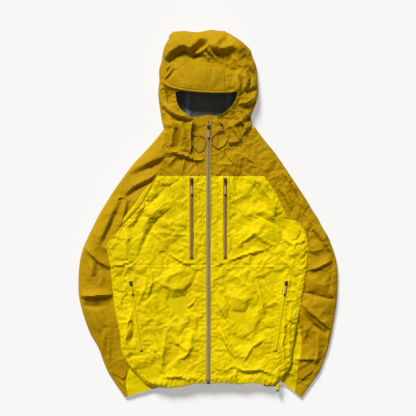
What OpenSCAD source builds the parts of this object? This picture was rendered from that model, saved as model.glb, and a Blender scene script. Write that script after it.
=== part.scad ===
// Hardshell jacket laid flat on its back, zips closed, hood up, sleeves beside the body.
// X runs across the jacket, +Y to the hood, +Z up from the surface it lies on.
// The origin is on that surface, in the middle of the jacket's outline.

/* [Fabric] */
// Thickness of the modelled shell fabric and its facings
fabric_t = 1.6; // [1.2:0.1:2.0]
// Gap that a sewn seam leaves between two panels
seam_gap = 0.8; // [0.5:0.1:1.2]

/* [Body] */
// Height of the front's outer face above the surface
front_z = 32; // [31:0.5:34]
// Height of the side fold, where front and back meet
edge_z = 22; // [21:0.5:23]
// Height of the body's underside where it lies over the sleeves
tuck_z = 17; // [16.5:0.5:18]
// Level of the hem
hem_y = -468; // [-470:1:-466]

/* [Sleeves] */
// Height of a sleeve's edge folds
sleeve_edge_z = 8; // [7:0.5:9]
// Depth of the turned cuff hem
cuff_l = 16; // [14:1:20]

/* [Hood] */
// Level of the collar's top, where the hood folds
collar_top_y = 250; // [248:1:251]
// Height of the hood's outline fold
hood_edge_z = 10; // [8:0.5:12]
// Depth of the stiffened brim
brim_l = 85; // [75:1:90]

/* [Zips] */
// Width of the main zip as it shows between the fronts
main_zip_w = 12.6; // [12:0.2:14]
// Width of a pocket zip
pocket_zip_w = 10; // [9:0.5:11]
// Length of a chest pocket zip
chest_zip_l = 222; // [200:1:224]
// Length of a hand pocket zip
hand_zip_l = 200; // [180:1:202]
// Distance of a chest pocket zip from the centre line
chest_zip_x = 46; // [44:1:48]

/* [Cords] */
// Diameter of the hood's elastic cord
hood_cord_d = 2.6; // [2:0.2:3]
// Diameter of the elastic cord in the hem
hem_cord_d = 2.4; // [2:0.2:2.6]

/* [Hidden] */
$fn = 40;
SIDES = ["left", "right"];
// Left is the side at -X, which is the wearer's right.

yellow = "gold";
mustard = "goldenrod";
tan_tape = "peru";
metal = "silver";

// Outlines of the right half, as [y, x], from the hem upwards.
body_side = [[-470, 172], [-450, 198], [-425, 216], [-392, 232], [-355, 242], [-320, 248], [-260, 254],
             [-228, 259], [-185, 267], [-140, 273], [-110, 275], [-75, 272], [-58, 260]];
side_lift = [[-470, 115], [-430, 140], [-390, 125], [-355, 95], [-325, 67], [-290, 63], [-228, 57],
             [-185, 52], [-120, 45], [-58, 22]];
pocket_seam = [[-470, 146], [-440, 160], [-378, 192], [-180, 222], [-139, 226], [-58, 238]];
raglan = [[-58, 258], [-30, 234], [5, 209], [32, 186], [65, 165], [100, 147], [140, 132], [205, 112],
          [250, 112]];
cape_side = [[165, 80], [180, 98], [200, 106], [219, 108], [222, 120], [250, 122]];
hood_side = [[252, 124], [285, 130], [318, 137], [384, 138], [417, 132], [450, 120], [483, 92],
             [498, 62], [507, 36]];
hood_height = [[252, 42], [300, 52], [350, 64], [420, 62], [470, 50], [495, 30], [507, 12]];

yoke_y = 100;
waist_seam_y = -139;
back_seam_y = 40;
armpit_y = -58;
collar_x = 46.5;
collar_base_y = 152;
opening_x = 85;
brim_y = 335;
hood_base_y = 252;
brim_top_y = brim_y + brim_l;

// Sleeves swing about this point, and start on an arc round it.
pivot = [250, 30];
swing_r = 86.3;
arc_gap = 1;

// Stations down a sleeve: [outer x, outer y, inner x, inner y, share of the width where the yellow
// under panel ends, height]. The first lies on the arc.
sleeve_left = [
    [313, -28, 252, -57, 0.06, 24], [337, -78, 256, -98, 0.06, 24], [351, -115, 250, -135, 0.06, 24],
    [358, -177, 243, -185, 0.06, 24], [358, -227, 234, -228, 0.06, 24], [350, -262, 228, -262, 0.06, 24],
    [339, -295, 220, -290, 0.06, 24], [325, -335, 214, -325, 0.08, 21], [307, -370, 190, -355, 0.22, 17],
    [290, -410, 160, -390, 0.43, 15.5], [276, -440, 138, -415, 0.56, 15], [262, -460, 125, -430, 0.66, 14],
    [232, -507, 100, -468, 0.86, 13]];
sleeve_right = [
    [313, -28, 252, -57, 0.06, 24], [337, -78, 256, -98, 0.06, 24], [350, -115, 250, -133, 0.06, 24],
    [358, -177, 243, -180, 0.06, 24], [356, -222, 236, -220, 0.06, 24], [351, -260, 230, -250, 0.1, 24],
    [345, -295, 224, -275, 0.2, 22], [338, -335, 216, -300, 0.33, 20], [328, -375, 207, -320, 0.42, 17],
    [316, -410, 195, -345, 0.49, 15.5], [306, -437, 185, -365, 0.52, 15], [292, -458, 172, -385, 0.56, 14],
    [257, -507, 150, -422, 0.7, 13]];

// Stations of the shoulder above the arc: [outer x, outer y]. Its inner edge is the raglan seam.
shoulder_outer = [[313, -28], [304, -12], [283, 21], [264, 54], [242, 87], [218, 120], [194, 153],
                  [165, 186], [140, 216]];
shoulder_inner_y = [-56, -30, 5, 32, 65, 100, 140, 170, 204];

// Routes of the two hood cord loops on the collar, as [x, y]; each leaves the flap and goes back under it.
hood_cord_left = [[-46, 219], [-40, 220], [-34, 219], [-28, 218], [-21, 215], [-14, 211], [-9, 205],
                  [-7, 198], [-8, 190], [-12, 182], [-18, 175], [-25, 172], [-32, 175], [-38, 181],
                  [-43, 189], [-46, 197], [-48, 205], [-49, 212]];
hood_cord_right = [[46, 228], [40, 229], [34, 228], [28, 227], [20, 223], [13, 217], [8, 210],
                   [7, 202], [8, 194], [14, 187], [20, 182], [28, 180], [36, 182], [43, 187],
                   [48, 194], [51, 202], [52, 210]];
// Route of the hem cord, as [x, y, z]: from its anchor at the left side along the back to the lock.
hem_cord_route = [[-140, -456, 21.6], [-112, -456, 21.4], [-92, -457, 20], [-76, -458, 13], [-60, -460, 6.4],
                  [-40, -460, 4.2], [0, -460, 4.2], [40, -460, 4.2], [60, -460, 6.4], [76, -458, 13],
                  [92, -457, 20], [112, -457, 22], [135, -460, 23], [155, -466, 24], [170, -471, 24],
                  [182, -472, 24], [205, -472, 24]];

function mix(a, b, t) = a + (b - a) * t;
function steps(a, b, n) = [for (i = [0:n]) mix(a, b, i / n)];
function ease(t) = let (c = max(0, min(1, t))) c * c * (3 - 2 * c);
function unit(v) = v / max(norm(v), 0.0001);
function flat(lists) = [for (list = lists) for (item = list) item];
function reversed(list) = [for (i = [len(list) - 1:-1:0]) list[i]];

// Normal of a grid of points at row i, column j. Columns run along +X and rows along +Y for +Z.
function grid_normal(g, i, j) = let (
    across = g[i][min(j + 1, len(g[0]) - 1)] - g[i][max(j - 1, 0)],
    along = g[min(i + 1, len(g) - 1)][j] - g[max(i - 1, 0)][j])
    unit(cross(across, along));

// A panel of fabric: g is the grid of points on its outer face.
module cloth(g, t = fabric_t) {
    rows = len(g);
    cols = len(g[0]);
    inner = [for (i = [0:rows - 1]) for (j = [0:cols - 1]) g[i][j] - t * grid_normal(g, i, j)];
    n = rows * cols;
    function at(i, j) = i * cols + j;
    faces = concat(
        flat([for (i = [0:rows - 2]) for (j = [0:cols - 2])
            let (a = at(i, j), b = at(i, j + 1), c = at(i + 1, j + 1), d = at(i + 1, j))
            [[a, d, c], [a, c, b], [n + a, n + c, n + d], [n + a, n + b, n + c]]]),
        flat([for (j = [0:cols - 2])
            let (a = at(0, j), b = at(0, j + 1), d = at(rows - 1, j), c = at(rows - 1, j + 1))
            [[a, b, n + b], [a, n + b, n + a], [c, d, n + d], [c, n + d, n + c]]]),
        flat([for (i = [0:rows - 2])
            let (a = at(i, 0), d = at(i + 1, 0), b = at(i, cols - 1), c = at(i + 1, cols - 1))
            [[d, a, n + a], [d, n + a, n + d], [b, c, n + c], [b, n + c, n + b]]]));
    polyhedron(points = concat(flat(g), inner), faces = faces);
}

// A round cord along a route of points.
module cord(route, d, sides = 8) {
    n = len(route);
    rings = [for (i = [0:n - 1]) let (
        t = unit(route[min(i + 1, n - 1)] - route[max(i - 1, 0)]),
        side = unit(cross(t, abs(t[2]) > 0.9 ? [0, 1, 0] : [0, 0, 1])),
        up = cross(side, t))
        [for (k = [0:sides - 1]) route[i] + d / 2 * (cos(360 * k / sides) * side + sin(360 * k / sides) * up)]];
    function at(i, k) = i * sides + k % sides;
    faces = concat(
        flat([for (i = [0:n - 2]) for (k = [0:sides - 1])
            [[at(i, k), at(i + 1, k + 1), at(i + 1, k)], [at(i, k), at(i, k + 1), at(i + 1, k + 1)]]]),
        [[for (k = [sides - 1:-1:0]) at(0, k)], [for (k = [0:sides - 1]) at(n - 1, k)]]);
    polyhedron(points = flat(rings), faces = faces);
}

// Mirrors a right-hand shape onto the asked side.
module on(side) {
    if (side == "left") mirror([1, 0, 0]) children();
    else children();
}

// A flat panel cut to an outline, with its outer face at height z.
module plate(outline, z = front_z, t = fabric_t) {
    translate([0, 0, z - t]) linear_extrude(t) polygon(outline);
}

// ---------------------------------------------------------------- body

function body_x(y) = lookup(y, body_side);
function flat_x(y) = body_x(y) - lookup(y, side_lift);

// Outer face of the side panel at level y: over the side fold and back under the body.
function side_section(y) = let (
    x0 = lookup(y, pocket_seam) + seam_gap / 2,
    x1 = body_x(y),
    fold = min(20, (x1 - x0) * 0.8),
    low = flat_x(y) + seam_gap / 2,
    ramp = lookup(y, side_lift) * 0.35,
    lip = 2.5)
    concat(
        [for (s = steps(0, 1, 3)) [mix(x0, x1 - fold, s), y, front_z]],
        [for (s = [0.4, 0.75]) [mix(x1 - fold, x1, s), y, mix(front_z, edge_z + 2, s * s)]],
        [[x1, y, edge_z]],
        [[x1 - 7, y, tuck_z + 1]],
        [for (s = steps(0, 1, 2)) [mix(x1 - 14, low + ramp, s), y, tuck_z]],
        [for (s = [0.66, 0.33]) [low + lip + (ramp - lip) * s, y, tuck_z * ease(s)]],
        [[low + lip, y, 0], [low, y, 0]]);

// Levels that the side panel and its neighbours have corners at, so that their edges run side by side.
side_levels = [hem_y, -450, -440, -425, -392, -378, -355, -320, -290, -260, -228, -180, -140, -110, -75,
               armpit_y];

module side_panel(side) {
    color(yellow) on(side) cloth([for (y = side_levels) side_section(y)]);
}

module lower_front(side) {
    seam = [for (p = pocket_seam) if (p[0] < waist_seam_y && p[0] > hem_y) [p[1] - seam_gap / 2, p[0]]];
    top = waist_seam_y - seam_gap / 2;
    color(yellow) on(side) plate(concat(
        [[main_zip_w / 2 + 0.3, hem_y], [lookup(hem_y, pocket_seam) - seam_gap / 2, hem_y]], seam,
        [[lookup(top, pocket_seam) - seam_gap / 2, top], [main_zip_w / 2 + 0.3, top]]));
}

module chest_panel(side) {
    low = waist_seam_y + seam_gap / 2;
    high = yoke_y - seam_gap / 2;
    edge = [for (p = raglan) if (p[0] > armpit_y && p[0] < yoke_y) [p[1] - seam_gap, p[0]]];
    color(yellow) on(side) plate(concat(
        [[main_zip_w / 2 + 0.3, low], [lookup(low, pocket_seam) - seam_gap / 2, low],
         [lookup(armpit_y, pocket_seam) - seam_gap / 2, armpit_y]],
        edge,
        [[lookup(high, raglan) - seam_gap, high], [main_zip_w / 2 + 0.3, high]]));
}

module front_yoke(side) {
    low = yoke_y + seam_gap / 2;
    high = 204;
    color(mustard) on(side) plate([
        [main_zip_w / 2 + 0.3, low], [lookup(low, raglan) - seam_gap, low], [132 - seam_gap, 140],
        [lookup(high, raglan) - seam_gap, high], [collar_x + seam_gap, high],
        [collar_x + seam_gap, collar_base_y - seam_gap], [main_zip_w / 2 + 0.3, collar_base_y - seam_gap]]);
}

module collar_front(side) {
    color(mustard) on(side) plate([[main_zip_w / 2 + 0.3, collar_base_y], [collar_x, collar_base_y],
                                   [collar_x, collar_top_y], [main_zip_w / 2 + 0.3, collar_top_y]]);
}

// The base of the hood, which lies over the yoke and shoulder like a cape and closes the neck's side.
module neck_panel(side) {
    function cape(y) = let (x1 = lookup(y, cape_side))
        [for (s = steps(0, 1, 5)) [mix(collar_x + seam_gap, x1, s), y, mix(40, 36, s * s)]];
    function wrap(y) = let (x1 = lookup(y, cape_side)) concat(
        [for (s = steps(0, 1, 5)) [mix(collar_x + seam_gap, x1 - 8, s), y, mix(40, 34, s * s)]],
        [[x1 - 2, y, 28], [x1, y, 18], [x1 - 2, y, 8], [x1 - 7, y, 4]]);
    color(mustard) on(side) {
        cloth([for (y = steps(165, 221, 6)) cape(y)]);
        cloth([for (y = steps(222, collar_top_y, 3)) wrap(y)]);
    }
}

module back_panel() {
    right = concat([for (y = side_levels) [flat_x(y) - seam_gap / 2, y]],
                   [for (p = raglan) if (p[0] > armpit_y && p[0] < back_seam_y) [p[1] - seam_gap, p[0]]],
                   [[lookup(back_seam_y, raglan) - seam_gap, back_seam_y - seam_gap / 2]]);
    color(yellow) plate(concat(right, reversed([for (p = right) [-p[0], p[1]]])), fabric_t);
}

module back_yoke() {
    edge = [for (p = raglan) if (p[0] > back_seam_y && p[0] <= 205) [p[1] - seam_gap, p[0]]];
    right = concat([[lookup(back_seam_y, raglan) - seam_gap, back_seam_y + seam_gap / 2]], edge,
                   [[111, 222], [111, collar_top_y]]);
    color(mustard) plate(concat(right, reversed([for (p = right) [-p[0], p[1]]])), fabric_t);
}

// The top of the sleeve, from the neck to the arc: over the shoulder's edge and back under it.
module shoulder(side) {
    function seam_of(i) = [lookup(shoulder_inner_y[i], raglan) + seam_gap, shoulder_inner_y[i]];
    function xy(i, s) = i == 0
        ? on_arc([258, armpit_y + 3], shoulder_outer[0], s, swing_r - arc_gap)
        : mix(seam_of(i), shoulder_outer[i], s);
    function top_z(s) = mix(sleeve_edge_z, front_z, cos(90 * pow(s, 1.4)));
    function low_z(s) = sleeve_edge_z * pow(max(0, (s - 0.7) / 0.3), 2);
    function point(i, s, z) = let (p = xy(i, s)) [p[0], p[1], z];
    function section(i) = concat(
        [for (s = steps(0, 0.94, 6)) point(i, s, top_z(s))],
        [point(i, 1, sleeve_edge_z)],
        [for (s = reversed(steps(0, 0.94, 4))) point(i, s, low_z(s))]);
    color(mustard) on(side) cloth([for (i = [0:len(shoulder_outer) - 1]) section(i)]);
}

// ---------------------------------------------------------------- sleeves

// A point at share s of the way from a to b, on the arc of radius r round the pivot.
function on_arc(a, b, s, r) = let (
    from = atan2(a[1] - pivot[1], a[0] - pivot[0]),
    to = atan2(b[1] - pivot[1], b[0] - pivot[0]),
    angle = mix(from, to, s))
    pivot + r * [cos(angle), sin(angle)];

function stations(side) = side == "left" ? sleeve_left : sleeve_right;

// A point of a sleeve at station k, at share s of the width from its inner to its outer edge.
function sleeve_xy(st, k, s) = let (q = st[k])
    k > 0 ? mix([q[2], q[3]], [q[0], q[1]], s)
    : on_arc([q[2], q[3]], [q[0], q[1]], s, swing_r + arc_gap);
function sleeve_top(h, s) = sleeve_edge_z + (h - sleeve_edge_z) * sin(180 * pow(s, 1.6));
function sleeve_low(s) = sleeve_edge_z * (1 - min(1, 2.2 * sin(180 * s)));
function sleeve_point(st, k, s, top) = let (p = sleeve_xy(st, k, s))
    [p[0], p[1], top ? sleeve_top(st[k][5], s) : sleeve_low(s)];

under_seam = 0.6;
last_station = 12;

// The cuff hem takes the last stretch of the sleeve, so the panels stop short of it.
function with_cuff(st) = let (a = st[last_station - 1], b = st[last_station],
    share = 1 - (cuff_l + seam_gap) / norm([b[0] - a[0], b[1] - a[1]]))
    [for (k = [0:last_station]) k < last_station ? st[k] : mix(a, b, share)];

module upper_sleeve(side) {
    st = with_cuff(stations(side));
    gap = 0.008;
    function section(k) = concat(
        [for (s = steps(st[k][4] + gap, 0.96, 7)) sleeve_point(st, k, s, true)],
        [sleeve_point(st, k, 1, true)],
        [for (s = [0.96, 0.88, 0.75, under_seam + gap]) sleeve_point(st, k, s, false)]);
    color(mustard) on(side) cloth([for (k = [last_station:-1:0]) section(k)]);
}

module under_sleeve(side) {
    st = with_cuff(stations(side));
    gap = 0.008;
    function section(k) = concat(
        [for (s = [under_seam - gap, 0.4, 0.2, 0.12, 0.04]) sleeve_point(st, k, s, false)],
        [sleeve_point(st, k, 0, true)],
        [for (s = steps(0.035, st[k][4] - gap, 3)) sleeve_point(st, k, s, true)]);
    color(yellow) on(side) cloth([for (k = [last_station:-1:0]) section(k)]);
}

module cuff(side) {
    full = stations(side);
    a = full[last_station - 1];
    b = full[last_station];
    start = mix(a, b, 1 - cuff_l / norm([b[0] - a[0], b[1] - a[1]]));
    gap = 0.004;
    function section(q) = let (st = [q, q])
        concat(
            [for (s = [under_seam - gap, 0.4, 0.2, 0.12, 0.04]) sleeve_point(st, 1, s, false)],
            [sleeve_point(st, 1, 0, true)],
            [for (s = steps(0.035, 0.96, 8)) sleeve_point(st, 1, s, true)],
            [sleeve_point(st, 1, 1, true)],
            [for (s = [0.96, 0.88, 0.75, under_seam + gap]) sleeve_point(st, 1, s, false)]);
    color(mustard) on(side) cloth([section(b), section(start)]);
}

// The hook-and-loop tab that tightens the cuff; it peels up from its sewn end.
tab_l = 42;
tab_w = 20;
function tab_place(side) = side == "left" ? [228, -446, 205] : [248, -448, 212];

module cuff_tab(side) {
    place = tab_place(side);
    color(mustard) on(side) translate([place[0], place[1], 15.6]) rotate(place[2] + 180) {
        translate([0, -tab_w / 2, 0]) cube([tab_l - tab_w / 2, tab_w, 1.8]);
        translate([tab_l - tab_w / 2, 0, 0]) cylinder(r = tab_w / 2, h = 1.8);
        translate([0, 0, 0.9]) rotate([90, 0, 0]) cylinder(r = 0.9, h = tab_w, center = true);
    }
}

// ---------------------------------------------------------------- hood

function hood_x(y) = lookup(y, hood_side);
function hood_top(x, y) = let (u = min(1, abs(x) / hood_x(y)))
    mix(hood_edge_z + 0.5, lookup(y, hood_height), pow(1 - pow(u, 4), 0.5));
function hood_low(x, y) = let (u = min(1, abs(x) / hood_x(y)), v = max(0, (y - 485) / 22))
    (hood_edge_z - 1) * max(pow(u, 8), pow(v, 3));

module hood_cheek(side) {
    color(mustard) on(side) cloth([for (y = steps(hood_base_y, brim_top_y - seam_gap, 9))
        let (x1 = hood_x(y) - 0.2) [for (s = [0, 0.25, 0.5, 0.7, 0.84, 0.94, 1])
            let (x = mix(opening_x + seam_gap / 2, x1, s)) [x, y, hood_top(x, y)]]]);
}

module hood_crown() {
    shares = [-1, -0.95, -0.85, -0.7, -0.5, -0.25, 0, 0.25, 0.5, 0.7, 0.85, 0.95, 1];
    color(mustard) cloth([for (y = [brim_top_y, 435, 450, 467, 483, 492, 499, 504, 507])
        [for (u = shares) let (x = u * (hood_x(y) - 0.2)) [x, y, hood_top(x, y)]]]);
}

module hood_brim() {
    color(mustard) cloth([for (y = steps(brim_y, brim_top_y - seam_gap, 6))
        [for (x = steps(-opening_x + seam_gap / 2, opening_x - seam_gap / 2, 10)) [x, y, hood_top(x, y)]]]);
}

module brim_stiffener() {
    color("dimgray") cloth([for (y = steps(brim_y + 6, brim_top_y - 14, 5))
        [for (x = steps(-72, 72, 10)) [x, y, hood_top(x, y) - fabric_t - 0.6]]], 1.2);
}

module hood_back() {
    shares = [1, 0.95, 0.88, 0.78, 0.5, 0, -0.5, -0.78, -0.88, -0.95, -1];
    color(mustard) cloth([for (y = [hood_base_y, 285, 318, 350, 384, 417, 450, 470, 485, 492, 499, 505])
        [for (u = shares) let (x = u * (hood_x(y) - 0.5)) [x, y, hood_low(x, y)]]]);
}

module hood_lining() {
    color("darkslategray") plate([[-92, 256], [92, 256], [96, 380], [84, 440], [60, 466], [-60, 466], [-84, 440],
                                  [-96, 380]], 4.4, 1.2);
}

// ---------------------------------------------------------------- zips

tape_t = 1;
chain_w = 4.2;
chain_h = 1.4;

// A zip lying along Y from 0 down to -l, with its tape's face at z = 0 and its chain standing on it.
module pocket_zip(l, w = pocket_zip_w) {
    color(tan_tape) {
        translate([-w / 2, -l, -tape_t]) cube([w, l, tape_t]);
        translate([-chain_w / 2, -l + 3, 0]) cube([chain_w, l - 6, chain_h]);
    }
}

// A slider that straddles the chain, with two lugs and a pin that hold the pull.
slider_w = 9.4;
slider_l = 11;
pin_z = 5.2;
pin_r = 0.8;
// Angle by which a pull that lies on the fabric slopes down from its pin.
pull_droop = 3;
module slider() {
    plate_z = chain_h + 0.3;
    color(metal) {
        difference() {
            union() {
                translate([-slider_w / 2, -slider_l / 2, 0.25]) cube([slider_w, slider_l * 0.6, plate_z + 1]);
                translate([-slider_w / 2 + 1, -slider_l / 2 - 1.5, 0.25]) cube([slider_w - 2, slider_l, plate_z + 1]);
                translate([0, slider_l / 2 - 4.5, 0.25]) cylinder(r = slider_w / 2 - 0.4, h = plate_z + 1);
            }
            translate([-chain_w / 2 - 0.35, -slider_l, 0]) cube([chain_w + 0.7, 2 * slider_l, plate_z]);
        }
        for (s = [-1, 1]) translate([s * 2.6 - 0.5, -1.6, plate_z + 1.2]) cube([1, 3.2, pin_z - plate_z]);
        translate([-3.1, 0, pin_z]) rotate([0, 90, 0]) cylinder(r = pin_r, h = 6.2);
    }
}

// A pull that turns on the slider's pin: a metal link and a moulded grip with a dark end.
module puller(link_l, grip_l, grip_w) {
    translate([0, 0, pin_z]) rotate([pull_droop, 0, 0]) difference() {
        union() {
            color(metal) translate([-1.6, 0, 0]) rotate([0, 90, 0]) cylinder(r = 1.7, h = 3.2);
            color(metal) translate([-1.6, -link_l - 1, -0.7]) cube([3.2, link_l + 1, 1.4]);
            color(tan_tape) translate([-grip_w / 2, -link_l - grip_l + grip_w / 2, -1.1])
                cube([grip_w, grip_l - grip_w / 2, 2.2]);
            color(tan_tape) translate([0, -link_l - grip_l + grip_w / 2, -1.1])
                cylinder(r = grip_w / 2, h = 2.2);
        }
        translate([-2, 0, 0]) rotate([0, 90, 0]) cylinder(r = pin_r + 0.08, h = 4);
    }
}

main_slider_y = 238;
chest_slider_y = yoke_y - 9;
hand_zip_top = [214, -180];
hand_zip_turn = -8.6;
hand_slider_drop = 10;
zip_lift = tape_t + 0.1;

module main_zip_tape(side) {
    bottom = hem_y + 9;
    color(tan_tape) on(side) translate([0.3, bottom, front_z - tape_t]) {
        cube([main_zip_w / 2 - 0.3, collar_top_y - bottom, tape_t]);
        cube([chain_w / 2 - 0.3, collar_top_y - 2 - bottom, tape_t + chain_h]);
    }
}

// The box and pin at the bottom of the main zip, and the stops at its top.
module zip_stops() {
    color(metal) {
        translate([-4.2, hem_y, front_z - 1.6]) cube([8.4, 8.6, 3]);
        for (s = [-1, 1]) translate([s * 1.4 - 0.9, collar_top_y - 1.6, front_z + 0.1]) cube([1.8, 1.5, 1.4]);
    }
}

module storm_flap() {
    color(mustard) translate([-19, hem_y + 14, front_z - fabric_t - 2.6])
        cube([38, collar_top_y - hem_y - 18, 1.6]);
}

module main_slider() { translate([0, main_slider_y, front_z]) slider(); }
module main_puller() { translate([0, main_slider_y, front_z]) puller(10, 24, 6); }

module chest_zip_tape(side) {
    on(side) translate([chest_zip_x, yoke_y - 1.5, front_z + zip_lift]) pocket_zip(chest_zip_l);
}
module chest_slider(side) { on(side) translate([chest_zip_x, chest_slider_y, front_z + zip_lift]) slider(); }
module chest_puller(side) {
    on(side) translate([chest_zip_x, chest_slider_y, front_z + zip_lift]) puller(16, 26, 6);
}

module at_hand_zip(side, drop = 0) {
    on(side) translate([hand_zip_top[0], hand_zip_top[1], front_z + zip_lift]) rotate(hand_zip_turn)
        translate([0, -drop, 0]) children();
}
module hand_zip_tape(side) { at_hand_zip(side) pocket_zip(hand_zip_l); }
module hand_slider(side) { at_hand_zip(side, hand_slider_drop) slider(); }
module hand_puller(side) { at_hand_zip(side, hand_slider_drop) puller(11, 24, 6); }

// ---------------------------------------------------------------- inside and small parts

bag_t = 1.4;
module chest_pocket_bags() {
    for (side = SIDES) color("dimgray") on(side)
        plate([[24, -132], [128, -132], [134, 20], [120, 92], [24, 92]], front_z - fabric_t - 0.6, bag_t);
}

module hand_pocket_bags() {
    for (side = SIDES) color("dimgray") on(side)
        plate([[40, -440], [150, -440], [188, -378], [212, -180], [120, -150], [40, -170]],
              front_z - fabric_t - 0.6, bag_t);
}

loop_l = 44;
loop_rise = 5;
module hanger_loop() {
    color(mustard) translate([0, 236, fabric_t]) difference() {
        translate([-loop_l / 2, -4, 0.1]) cube([loop_l, 8, loop_rise + 1.4]);
        translate([-loop_l / 2 + 7, -5, 0]) cube([loop_l - 14, 10, loop_rise]);
    }
}

module hem_cord() {
    color(tan_tape) cord(hem_cord_route, hem_cord_d);
}

eyelet_r = 2;
cord_z = front_z + eyelet_r + 0.05;
module hood_cord(side) {
    route = side == "left" ? hood_cord_left : hood_cord_right;
    color(tan_tape) cord([for (p = route) [p[0], p[1], cord_z]], hood_cord_d);
}

// Eyelets in the hood's facing where each cord loop starts and ends, under the flap's edge.
eyelet_places = [[-46.5, 219, 0], [-49, 211.5, 1], [46.5, 228, 0], [52, 209.5, 1]];
module cord_eyelets() {
    for (p = eyelet_places) color("dimgray") translate([p[0], p[1], cord_z])
        rotate(p[2] == 0 ? [0, 90, 0] : [90, 0, 0]) difference() {
            cylinder(r = eyelet_r, h = 1.6, center = true);
            cylinder(r = hood_cord_d / 2 + 0.15, h = 3, center = true);
        }
}

// Cord lock at the hem's right corner: a barrel held by a tape that is sewn into the hem, a cross hole
// for the cord and a sprung button in its end.
lock_at = [190, hem_y - 1.6, 24];
lock_r = 5.4;
lock_l = 15;
button_r = 3.6;
button_start = 8;
button_out = 3.5;
module at_lock() {
    translate(lock_at) rotate([90, 0, 0]) children();
}

module hem_lock_body() {
    color(yellow) {
        at_lock() difference() {
            cylinder(r = lock_r, h = lock_l);
            translate([0, 0, 4]) cylinder(r = button_r + 0.08, h = lock_l);
            translate([0, 0, 2.4]) rotate([0, 90, 0])
                cylinder(r = hem_cord_d / 2 + 0.2, h = 4 * lock_r, center = true);
        }
        translate([lock_at[0] - 36, lock_at[1] - 6, lock_at[2] - lock_r + 0.8]) cube([36, 6, 1]);
        translate([lock_at[0] - 36, lock_at[1] - 6, lock_at[2] - lock_r + 0.8]) cube([10, 20, 1]);
    }
}

module hem_lock_button() {
    tip_z = lock_l - button_start + button_out;
    color("dimgray") at_lock() translate([0, 0, button_start]) {
        cylinder(r = button_r, h = tip_z);
        translate([0, 0, tip_z]) cylinder(r1 = button_r, r2 = button_r - 0.8, h = 0.8);
    }
}

// ---------------------------------------------------------------- drawing

back_panel();
back_yoke();
storm_flap();
zip_stops();
hanger_loop();
chest_pocket_bags();
hand_pocket_bags();
hem_cord();
hem_lock_body();
hem_lock_button();
cord_eyelets();
main_slider();
main_puller();
hood_back();
hood_crown();
hood_brim();
brim_stiffener();
hood_lining();
for (side = SIDES) {
    side_panel(side);
    lower_front(side);
    chest_panel(side);
    front_yoke(side);
    shoulder(side);
    neck_panel(side);
    collar_front(side);
    main_zip_tape(side);
    chest_zip_tape(side);
    hand_zip_tape(side);
    hood_cord(side);
    chest_slider(side);
    chest_puller(side);
    hand_slider(side);
    hand_puller(side);
    hood_cheek(side);
    upper_sleeve(side);
    under_sleeve(side);
    cuff(side);
    cuff_tab(side);
}
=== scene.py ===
"""A hardshell jacket laid flat on its back: seams, folds, zips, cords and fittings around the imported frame.

Lengths are in millimetres until a mesh is made. X runs across the jacket, +Y to the hood, +Z up.
"""

import math
from contextlib import contextmanager

import bmesh
import bpy
import numpy as np
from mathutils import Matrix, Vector


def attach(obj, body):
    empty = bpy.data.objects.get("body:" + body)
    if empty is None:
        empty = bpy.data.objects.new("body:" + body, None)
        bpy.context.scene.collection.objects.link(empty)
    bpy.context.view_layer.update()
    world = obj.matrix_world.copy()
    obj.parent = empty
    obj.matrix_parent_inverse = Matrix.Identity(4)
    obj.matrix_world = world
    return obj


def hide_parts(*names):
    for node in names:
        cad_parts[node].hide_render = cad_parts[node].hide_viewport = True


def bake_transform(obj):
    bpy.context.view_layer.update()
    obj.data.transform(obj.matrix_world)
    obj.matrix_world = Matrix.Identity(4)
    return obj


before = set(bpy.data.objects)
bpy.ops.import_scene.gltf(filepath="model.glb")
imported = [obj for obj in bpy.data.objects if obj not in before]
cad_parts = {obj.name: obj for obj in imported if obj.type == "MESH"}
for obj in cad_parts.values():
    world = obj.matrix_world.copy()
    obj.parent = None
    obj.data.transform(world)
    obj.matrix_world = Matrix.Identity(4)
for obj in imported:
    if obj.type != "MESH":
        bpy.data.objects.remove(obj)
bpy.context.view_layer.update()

MM = 0.001
SIDES = {"left": -1, "right": 1}

# ------------------------------------------------------------------ camera

VIEW_CENTRE = (-0.0014, 0.015)
VIEW_WIDTH = 1.144
VIEW_LEVEL = 0.0192  # the level at which the picture is VIEW_WIDTH wide
LENS = 100
SENSOR = 36
FRONT_Z = 32


def make_camera():
    data = bpy.data.cameras.new("camera")
    data.lens = LENS
    data.sensor_width = SENSOR
    camera = bpy.data.objects.new("camera", data)
    camera.location = (*VIEW_CENTRE, VIEW_LEVEL + VIEW_WIDTH * LENS / SENSOR)
    bpy.context.scene.collection.objects.link(camera)
    bpy.context.scene.camera = camera


# ------------------------------------------------------------------ numbers


def mix(a, b, t):
    return a + (b - a) * t


def ease(t):
    t = np.clip(t, 0, 1)
    return t * t * (3 - 2 * t)


def curve(points):
    """A smooth function through (position, value) points."""
    p = np.array(sorted(points), float)
    t, v = p[:, 0], p[:, 1]
    slope = np.gradient(v, t)

    def value(x):
        x = np.clip(x, t[0], t[-1])
        i = np.clip(np.searchsorted(t, x, side="right") - 1, 0, len(t) - 2)
        h = t[i + 1] - t[i]
        s = (x - t[i]) / h
        return ((2 * s**3 - 3 * s**2 + 1) * v[i] + (s**3 - 2 * s**2 + s) * h * slope[i]
                + (3 * s**2 - 2 * s**3) * v[i + 1] + (s**3 - s**2) * h * slope[i + 1])

    return value


def columns_at(at, table, wanted):
    """Each column of a table of stations as a smooth curve, read at the wanted places."""
    return [curve(list(zip(at, column)))(wanted) for column in np.array(table, float).T]


def spread(levels, step):
    """Evenly divided positions through the given levels, and the index of each level."""
    out = [levels[0]]
    index = [0]
    for a, b in zip(levels, levels[1:]):
        n = max(1, round(abs(b - a) / step))
        out += [a + (b - a) * (i + 1) / n for i in range(n)]
        index.append(len(out) - 1)
    return np.array(out, float), index


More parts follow.
